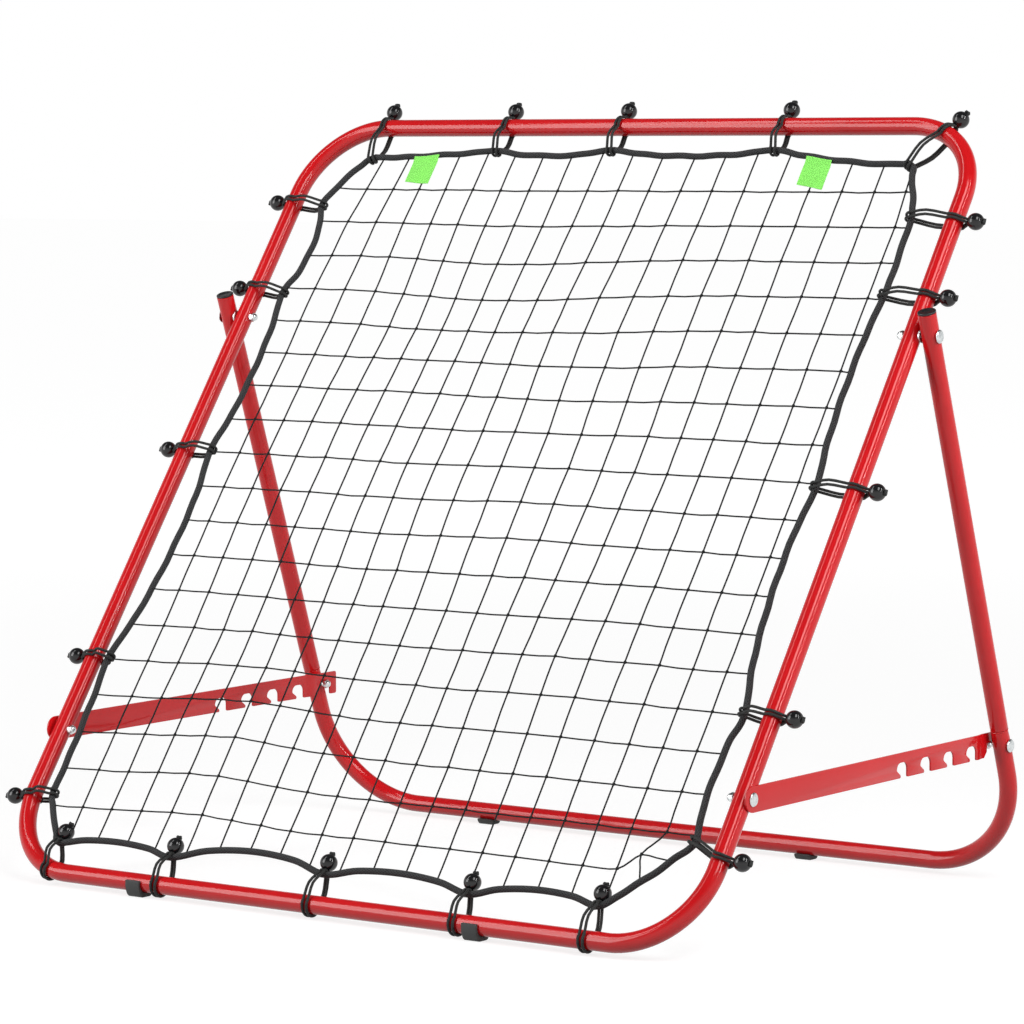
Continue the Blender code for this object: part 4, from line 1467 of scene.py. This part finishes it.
@dataclass
class Net(SubAssembly):
    """The knotted net, hitched to the rope all round."""

    rope: BorderRope
    columns: int = 19
    rows: int = 19
    first_across: float = -0.4154
    column_pitch: float = 0.04633
    first_up: float = 0.0893
    row_pitch: float = 0.05096
    top_drift: float = 0.0038
    upper_left_pull: float = 0.0145
    top_left_end: float = 0.007
    low_rise: float = 0.0015
    low_left_rise: float = 0.006
    knot_loop_r: float = 0.0014
    knot_lean: float = 0.6
    knot_gap: float = 0.0003
    twine_sides: int = 6
    wander: float = 0.0006
    most_slack: float = 0.0011
    rope_margin: float = 0.008
    seed: int = 7
    pulls: tuple[Pull, ...] = (
        Pull((9.2, 13.9), (2.8, 2.5), (-0.0120, -0.003)),
        Pull((7.0, 9.4), (2.6, 2.6), (-0.0108, -0.002)),
        Pull((6.2, 15.1), (3.5, 1.8), (0.0, -0.0142)),
        Pull((3.1, 14.2), (1.9, 1.7), (0.0065, -0.003)),
        Pull((0.0, 14.8), (1.5, 2.0), (-0.0050, -0.003)),
        Pull((10.6, 12.8), (2.4, 1.5), (0.0, -0.0045)),
        Pull((10.0, 8.5), (2.4, 2.0), (0.0, 0.0038)),
        Pull((13.2, 10.4), (2.2, 1.6), (0.003, 0.001)),
        Pull((12.6, 4.8), (1.9, 2.1), (-0.0072, 0.001)),
        Pull((1.8, 5.0), (2.2, 2.2), (0.0050, 0.0015)),
        Pull((3.9, 2.6), (2.6, 1.9), (-0.0006, 0.0075)),
        Pull((14.6, 5.2), (2.6, 2.6), (0.0, 0.0028)),
        Pull((3.8, 17.2), (2.0, 1.2), (-0.0022, 0.0)))
    corner_knot: Point = (0.3969, 0.1103)
    last_top_knot: Point = (0.4192, 1.0069)
    row_ends: dict[tuple[int, int], Point] = field(default_factory=lambda: {
        (0, 1): (0.4365, 0.1096), (1, 1): (0.4425, 0.1398), (18, 0): (-0.4342, 1.0049)})
    column_ends: dict[tuple[int, int], Point] = field(default_factory=lambda: {
        (18, 0): (0.4066, 0.0775)})

    def knot(self, column: int, row: int) -> Vector:
        """A knot's place, as (across, up).

        Args:
            column: Its column, from the left.
            row: Its row, from the bottom.

        Returns:
            The place, with the pull of the rope's corners on it.
        """
        if (column, row) == (self.columns - 1, 0):
            return Vector(self.corner_knot)
        if (column, row) == (self.columns - 1, self.rows - 1):
            return Vector(self.last_top_knot)
        across = self.first_across + self.column_pitch * column
        up = self.first_up + self.row_pitch * row
        right = column / (self.columns - 1)
        high = row / (self.rows - 1)
        left_pull = smooth_step(1 - right / 0.45) * smooth_step((high - 0.45) / 0.5)
        across += self.top_drift * high + self.upper_left_pull * left_pull
        if row == self.rows - 1:
            across += self.top_left_end * max(0.0, 1 - column / 2.5)
        up += self.low_rise * smooth_step(high / 0.2) * (1 - high)
        low_left = smooth_step(1 - abs(right - 0.2) / 0.2) * smooth_step(1 - high / 0.3)
        up += self.low_left_rise * low_left
        for pull in self.pulls:
            across, up = pull.moved(column, row, across, up)
        jitter = Random(self.seed * 1009 + column * 31 + row)
        across += jitter.uniform(-self.wander, self.wander)
        up += jitter.uniform(-self.wander, self.wander)
        return Vector((across, up))

    def inside(self, point: Vector) -> bool:
        """Whether a knot lies inside the rope, clear of it.

        Args:
            point: The knot, as (across, up).

        Returns:
            Whether it does.
        """
        loop = self.rope.loop_points
        crossed = False
        for place, here in enumerate(loop):
            there = loop[(place + 1) % len(loop)]
            if (here.y > point.y) != (there.y > point.y):
                reach = here.x + (point.y - here.y) / (there.y - here.y) * (there.x - here.x)
                crossed ^= point.x < reach
        return crossed and min((here - point).length for here in loop) > self.rope_margin

    def runs(self, lines: Iterable[Sequence[Vector]], ends: dict[tuple[int, int], Point]
             ) -> list[list[Vector]]:
        """Each line's knots inside the rope, led on at both ends into the rope.

        Args:
            lines: The knots of each row or column.
            ends: Where a line's start (0) or end (1) meets the rope out of line with its knots.

        Returns:
            The strands' points.
        """
        made = []
        for number, line in enumerate(lines):
            kept = [point for point in line if self.inside(point)]
            if len(kept) < 2:
                continue
            first = self.rope.crossing(kept[0], (kept[0] - kept[1]).normalized())
            last = self.rope.crossing(kept[-1], (kept[-1] - kept[-2]).normalized())
            if (number, 0) in ends:
                first = self.rope.nearest(Vector(ends[number, 0]))
            if (number, 1) in ends:
                last = self.rope.nearest(Vector(ends[number, 1]))
            made.append([first, *kept, last])
        return made

    def build(self) -> None:
        """Build the strands both ways and a knot at each crossing."""
        grid = [[self.knot(c, r) for r in range(self.rows)] for c in range(self.columns)]
        columns = self.runs(grid, self.column_ends)
        lines = [[grid[c][r] for c in range(self.columns)] for r in range(self.rows)]
        rows = self.runs(lines, self.row_ends)
        shape = Shape()
        for number, strand in enumerate(columns + rows):
            lift = S.twine_r * (0.5 if number < len(columns) else -0.5)
            self.lay_strand(shape, strand, lift, number)
        for column in grid:
            for point in column:
                if self.inside(point):
                    self.tie(shape, point)
        mesh = shape.done("net_twine", sharp=180.0)
        self.add("net_twine", mesh, TWINE, Body.FRONT, "net")

    def lay_strand(self, shape: Shape, strand: Sequence[Vector], lift: float,
                   number: int) -> None:
        """Lay one strand through its knots, slack between them.

        Args:
            shape: What it is added to.
            strand: Its (across, up) points.
            lift: How far in front of the net's plane it runs.
            number: The strand's number, which sets its slack.
        """
        slack = Random(self.seed * 77 + number)
        points = []
        for here, there in zip(strand, strand[1:]):
            down = slack.uniform(0.0, self.most_slack)
            side = slack.uniform(-self.wander, self.wander)
            points += [here, (here + there) / 2 + Vector((side, -down))]
        points.append(strand[-1])
        route = [FRONT.at(point.x, point.y, lift) for point in curve_through(points, 2)]
        shape.tube(route, S.twine_r, self.twine_sides)

    def tie(self, shape: Shape, point: Vector) -> None:
        """Tie the knot at a crossing: two turns of twine, one over each strand.

        Args:
            shape: What it is added to.
            point: The crossing, as (across, up).
        """
        for way in (1, -1):
            lean = way * self.knot_lean
            ring = []
            for step in range(8):
                turn = 2 * pi * step / 8
                across = self.knot_loop_r * cos(turn)
                up = self.knot_loop_r * 0.8 * sin(turn) * cos(lean) + self.knot_gap * way
                front = self.knot_loop_r * 0.9 * sin(turn) * sin(lean)
                ring.append(FRONT.at(point.x + across, point.y + up, front))
            shape.tube(ring, S.twine_r * 0.95, 5, closed=True)


@dataclass(frozen=True)
class Lashing:
    """A bungee's stations: its ball, what the ball stands on, and what its cords turn round.

    way is 1 where the ball lies outward of what it stands on, -1 where it lies inward.
    """

    ball: Station
    near: Station
    far: Station
    way: int


@dataclass
class Bungees(SubAssembly):
    """The twenty ball bungees that draw the rope out to the frame."""

    rope: BorderRope
    ball_from_tube: dict[Side, float] = field(default_factory=lambda: {
        Side.TOP: 0.0138, Side.RIGHT: 0.0176, Side.LEFT: 0.0176})
    tail_length: float = 0.0017
    tail_half: float = 0.0026
    exit_half: float = 0.0021
    neck: float = 0.86
    outward_turns: Point = (42, 118)
    inward_turns: Point = (60, 90)
    far_turn: float = 100
    near_half: float = 0.00205
    far_half: float = 0.0033
    front_slack: float = 0.0062
    back_slack: float = 0.0048
    loop_slack: float = 0.0003
    hole_r: float = 0.0034
    cord_sides: int = 12
    ball_sides: int = 40

    def build(self) -> None:
        """Build every bungee's ball and cords."""
        counts = {side: 0 for side in Side}
        for place, hold in enumerate(HOLDS):
            counts[hold.side] += 1
            name = f"{hold.side.value}_{counts[hold.side]}"
            on_rope, on_tube = self.rope.station(place), hold.on_tube()
            if hold.side is Side.BOTTOM:
                rise = (S.rope_r + 3 * S.clear + S.ball_r) / on_rope.out.dot(on_tube.out)
                ball = Station(on_rope.point - on_tube.out * rise, -on_tube.out, on_tube.along)
                lashing = Lashing(ball, on_rope, on_tube, -1)
            else:
                rise = S.tube_r + self.ball_from_tube[hold.side]
                ball = Station(on_tube.point + on_tube.out * rise, on_tube.out, on_tube.along)
                lashing = Lashing(ball, on_tube, on_rope, 1)
            self.build_ball(name, ball)
            self.build_cords(name, lashing)

    def build_ball(self, name: str, ball: Station) -> None:
        """Build a ball, drilled through for its cords.

        Args:
            name: The bungee's name.
            ball: The ball's middle, with the way that its knot faces.
        """
        first = degrees(acos(self.hole_r / S.ball_r))
        lip, depth = self.hole_r - 0.0008, S.ball_r * sin(radians(first)) - 0.0012
        profile = [(lip, -depth), *arc((0.0, 0.0), S.ball_r, -first, first, 22), (lip, depth)]
        turn = Vector((0, 0, 1)).rotation_difference(Vector((ball.out.x, 0.0, ball.out.y)))
        spot = ball.at(0.0, 0.0, 0.0)
        seat = FRONT.matrix @ Matrix.Translation(spot) @ turn.to_matrix().to_4x4()
        shape = Shape()
        shape.turned(profile, self.ball_sides, seat)
        self.add(f"ball_{name}", shape.done(f"ball_{name}", sharp=60.0), GLOSS, Body.FRONT,
                 f"bungee_{name}")

    def route(self, strand: int, lashing: Lashing) -> list[Vector]:
        """One strand, from its tail through the ball, round the far piece and back.

        Args:
            strand: -1 or 1.
            lashing: The bungee's stations.

        Returns:
            The strand's points on the front plane.
        """
        ball, near, far, way = lashing.ball, lashing.near, lashing.far, lashing.way
        near_r = (S.tube_r if way > 0 else S.rope_r) + S.clear + S.cord_r
        far_r = (S.rope_r + self.loop_slack if way > 0 else S.tube_r) + S.clear + S.cord_r
        close, wide = strand * self.near_half, strand * self.far_half
        gap = far.point - near.point
        skew = gap.dot(near.along) / gap.dot(near.out) if way > 0 else 0.0
        points = [ball.at(S.ball_r + self.tail_length, strand * self.tail_half, 0.0010),
                  ball.at(S.ball_r + 0.0008, strand * self.exit_half, 0.0004),
                  ball.at(0.0, close, 0.0),
                  ball.at(-S.ball_r * self.neck, close, 0.0008)]
        first, last = self.outward_turns if way > 0 else self.inward_turns
        for step in range(6):
            turn = radians(first + (last - first) * step / 5)
            out = way * near_r * cos(turn)
            half = close + (wide - close) * step / 10
            points.append(near.at(out, half + skew * min(out, 0.0), near_r * sin(turn)))
        lean = radians(self.far_turn)
        starts = points[-1], far.at(-way * far_r * cos(lean), wide, far_r * sin(lean))
        points.append((starts[0] + starts[1]) / 2 - Vector((0.0, self.front_slack, 0.0)))
        for step in range(9):
            turn = lean - 2 * lean * step / 8
            half = wide + (close - wide) * smooth_step(step / 8)
            points.append(far.at(-way * far_r * cos(turn), half, far_r * sin(turn)))
        back = []
        for step in range(6):
            turn = radians(-last + (last - first) * step / 5)
            out = way * near_r * cos(turn)
            back.append(near.at(out, close + skew * min(out, 0.0), near_r * sin(turn)))
        points.append((points[-1] + back[0]) / 2 + Vector((0.0, self.back_slack, 0.0)))
        points += back
        points.append(ball.at(-S.ball_r * self.neck, close, -0.0016))
        points.append(ball.at(-S.ball_r * 0.4, close * 0.9, -0.0008))
        return points

    def build_cords(self, name: str, lashing: Lashing) -> None:
        """Build a bungee's two strands and the knot outside its ball.

        Args:
            name: The bungee's name.
            lashing: Its stations.
        """
        ball = lashing.ball
        shape = Shape()
        for strand in (-1, 1):
            points = curve_through(self.route(strand, lashing), 3)
            shape.tube([FRONT.matrix @ point for point in points], S.thread_r, self.cord_sides)
        ring = []
        for step in range(16):
            turn = 2 * pi * step / 16
            spot = ball.at(S.ball_r + 0.0010 + 0.0006 * sin(turn + 0.6),
                           0.0027 * cos(turn), 0.0019 * sin(turn))
            ring.append(FRONT.matrix @ spot)
        shape.tube(ring, S.thread_r * 0.9, self.cord_sides, closed=True)
        self.add(f"cord_{name}", shape.done(f"cord_{name}", sharp=70.0), CORD_BRAID, Body.FRONT,
                 f"bungee_{name}")


@dataclass
class Tags(SubAssembly):
    """The two green cloth tags that hang from the rope."""

    rope: BorderRope
    width: float = 0.038
    length: float = 0.044
    thickness: float = 0.0008
    overlap: float = 0.0016
    hem: float = 0.0022
    stand_off: float = 0.0034
    settle: float = 0.0018
    ripple: float = 0.0006
    across: dict[Hand, float] = field(
        default_factory=lambda: {Hand.LEFT: -0.313, Hand.RIGHT: 0.283})
    slant: dict[Hand, float] = field(
        default_factory=lambda: {Hand.LEFT: -0.006, Hand.RIGHT: -0.001})
    columns: int = 20
    rows: int = 22

    def build(self) -> None:
        """Build both tags."""
        for hand, across in self.across.items():
            self.build_tag(hand, across)

    def surface(self, hand: Hand, across: float, share: float, drop: float) -> Vector:
        """A point of the tag's back face.

        Args:
            hand: Which tag.
            across: The tag's middle.
            share: The point's place across it, from 0 to 1.
            drop: Its place down it, from 0 to 1.

        Returns:
            The point as (across, up, front).
        """
        spot = across + (share - 0.5) * self.width
        top = self.rope.height_at(spot) - S.rope_r + self.overlap
        lean = self.slant[hand] * (share - 0.5) * drop
        up = top - (self.length - self.hem) * drop + lean
        front = self.stand_off - self.settle * smooth_step(drop / 0.25)
        ripple = self.ripple * smooth_step((drop - 0.1) / 0.5)
        front += ripple * (1 + sin(share * 7.0 + 2.0 * hand.value + drop * 1.5))
        return Vector((spot, up, front))

    def build_tag(self, hand: Hand, across: float) -> None:
        """Build one tag as a thin closed sheet.

        Args:
            hand: Which tag.
            across: Its middle.
        """
        shape = Shape()
        faces = []
        for depth in (0.0, self.thickness):
            rows = []
            for row in range(self.rows + 1):
                line = []
                for column in range(self.columns + 1):
                    place = self.surface(hand, across, column / self.columns, row / self.rows)
                    line.append(shape.bm.verts.new(FRONT.at(place.x, place.y, place.z + depth)))
                rows.append(line)
            faces.append(rows)
        for rows in faces:
            for row in range(self.rows):
                for column in range(self.columns):
                    self._face(shape, rows, row, column)
        back, front = faces
        rim = ([(0, c) for c in range(self.columns)] + [(r, self.columns)
               for r in range(self.rows)] + [(self.rows, c) for c in range(self.columns, 0, -1)]
               + [(r, 0) for r in range(self.rows, 0, -1)])
        for (r0, c0), (r1, c1) in zip(rim, rim[1:] + rim[:1]):
            shape.bm.faces.new((back[r0][c0], back[r1][c1], front[r1][c1], front[r0][c0]))
        name = f"tag_{hand.word}"
        piece = self.add(f"{name}_cloth", shape.done(name, sharp=50.0), CLOTH, Body.FRONT, name)

    def _face(self, shape: Shape, rows: list[list[bmesh.types.BMVert]], row: int,
              column: int) -> None:
        """Fill one cell of the sheet, with its place on the cloth in metres.

        Args:
            shape: What it is added to.
            rows: The sheet's corners.
            row: The cell's row.
            column: Its column.
        """
        cells = ((row, column), (row, column + 1), (row + 1, column + 1), (row + 1, column))
        face = shape.bm.faces.new([rows[r][c] for r, c in cells])
        for loop, (r, c) in zip(face.loops, cells):
            loop[shape.wrap].uv = (self.width * c / self.columns, self.length * r / self.rows)


# ---------------------------------------------------------------- studio


@dataclass
class Lamp:
    """A soft lamp that faces a target."""

    name: str
    place: tuple[float, float, float]
    target: tuple[float, float, float]
    width: float
    height: float
    watts: float
    upright: tuple[float, float, float] = (0.0, 0.0, 1.0)
    in_gloss: bool = True

    def hang(self) -> None:
        """Put the lamp in the scene, its height along the way that it stands upright."""
        light = bpy.data.lights.new(self.name, "AREA")
        light.shape = "RECTANGLE"
        light.size, light.size_y = self.width, self.height
        light.energy = self.watts
        lamp = bpy.data.objects.new(self.name, light)
        lamp.location = self.place
        back = (Vector(self.place) - Vector(self.target)).normalized()
        side = Vector(self.upright).cross(back).normalized()
        axes = Matrix((side, back.cross(side), back)).transposed()
        lamp.rotation_euler = axes.to_euler()
        lamp.visible_glossy = self.in_gloss
        bpy.context.scene.collection.objects.link(lamp)


@dataclass
class Studio:
    """The pale floor, the soft light and the camera."""

    floor_reach: float = 40.0
    floor_colour: float = 0.30
    floor_glow: Point = (0.80, 0.96)
    glow_reach: Point = (1.2, 5.0)
    world_fill: float = 0.40
    ceiling: float = 0.10
    backdrop_top: Point = (0.15, 0.60)
    camera_place: tuple[float, float, float] = (3.0885, -4.2428, 0.8800)
    camera_turn: tuple[float, float, float] = (radians(85.30), 0.0, radians(35.93))
    lens: float = 153.3
    lamps: tuple[Lamp, ...] = (
        Lamp("high_right", (2.6, -1.26, 3.55), (0, 0, 0.5), 1.3, 2.6, 66, (0.0, 0.583, 0.812)),
        Lamp("low_left", (-2.4, -3.15, 1.8), (0, 0, 0.5), 2.2, 2.7, 92),
        Lamp("left_strip", (-2.0, -1.45, 3.6), (0, 0, 0.5), 0.5, 2.6, 22, (0.0, 0.583, 0.812)),
        Lamp("right_fill", (4.4, 0.6, 1.6), (0, 0, 0.5), 2.4, 2.4, 62, in_gloss=False),
        Lamp("right_strip", (3.5, 0.16, 2.4), (0, 0, 0.5), 0.10, 2.8, 36, (0.0, 0.583, 0.812)),
    )

    def build(self) -> None:
        """Set up the floor, the world, the lamps, the camera and plain colours."""
        self.lay_floor()
        self.light_world()
        for lamp in self.lamps:
            lamp.hang()
        self.aim_camera()
        bpy.context.scene.view_settings.view_transform = "Standard"

    def lay_floor(self) -> None:
        """Lay a wide white floor that still takes the object's shadow."""
        reach = self.floor_reach
        mesh = bpy.data.meshes.new("floor")
        corners = [(-reach, -reach, 0), (reach, -reach, 0), (reach, reach, 0), (-reach, reach, 0)]
        mesh.from_pydata(corners, [], [(0, 1, 2, 3)])
        floor = bpy.data.objects.new("floor", mesh)
        bpy.context.scene.collection.objects.link(floor)
        board = Board("studio_floor")
        board.set(Base_Color=(*[self.floor_colour] * 3, 1.0), Roughness=1.0,
                  Specular_IOR_Level=0.0, Emission_Color=WHITE)
        distance = board.add("VectorMath", board.add("TexCoord").outputs["Object"])
        distance.operation = "LENGTH"
        paler = board.between(distance.outputs["Value"], *self.floor_glow, *self.glow_reach)
        board.feed("Emission Strength", board.math("MULTIPLY", board.seen_directly(), paler))
        mesh.materials.append(board.material)

    def light_world(self) -> None:
        """White behind the object, for the camera and for gloss, under a dim ceiling.

        The rest of the light from all round is a softer fill of the same form.
        """
        world = bpy.data.worlds.new("studio")
        world.use_nodes = True
        bpy.context.scene.world = world
        nodes = Nodes(world.node_tree)
        sky = nodes.tree.nodes["Background"]
        sky.inputs["Color"].default_value = WHITE
        split = nodes.add("SeparateXYZ", nodes.add("TexCoord").outputs["Generated"])
        dimming = nodes.between(split.outputs["Z"], 1.0, self.ceiling, *self.backdrop_top)
        level = nodes.between(nodes.seen_directly(), self.world_fill, 1.0, 0.0, 1.0)
        lit = nodes.math("MULTIPLY", dimming, level)
        camera_ray = nodes.add("LightPath").outputs["Is Camera Ray"]
        shown = nodes.math("MAXIMUM", lit, camera_ray)
        nodes.tree.links.new(shown, sky.inputs["Strength"])

    def aim_camera(self) -> None:
        """Put the camera where the photograph was taken from."""
        lens = bpy.data.cameras.new("camera")
        lens.lens = self.lens
        lens.sensor_width = 36.0
        lens.sensor_fit = "HORIZONTAL"
        camera = bpy.data.objects.new("camera", lens)
        camera.location = self.camera_place
        camera.rotation_euler = self.camera_turn
        bpy.context.scene.collection.objects.link(camera)
        bpy.context.scene.camera = camera


def main() -> None:
    """Build the studio and every sub-assembly, in order."""
    logging.basicConfig(level=logging.INFO, format="%(message)s")
    Studio().build()
    rope = BorderRope()
    groups = (FrontLoop(), RearStand(), NotchedBars(), Fasteners(), Feet(), rope, Net(rope),
              Bungees(rope), Tags(rope))
    for group in groups:
        group.build()
        log.info("%s: %d pieces", type(group).__name__, len(group.made))


if __name__ == "__main__":
    main()
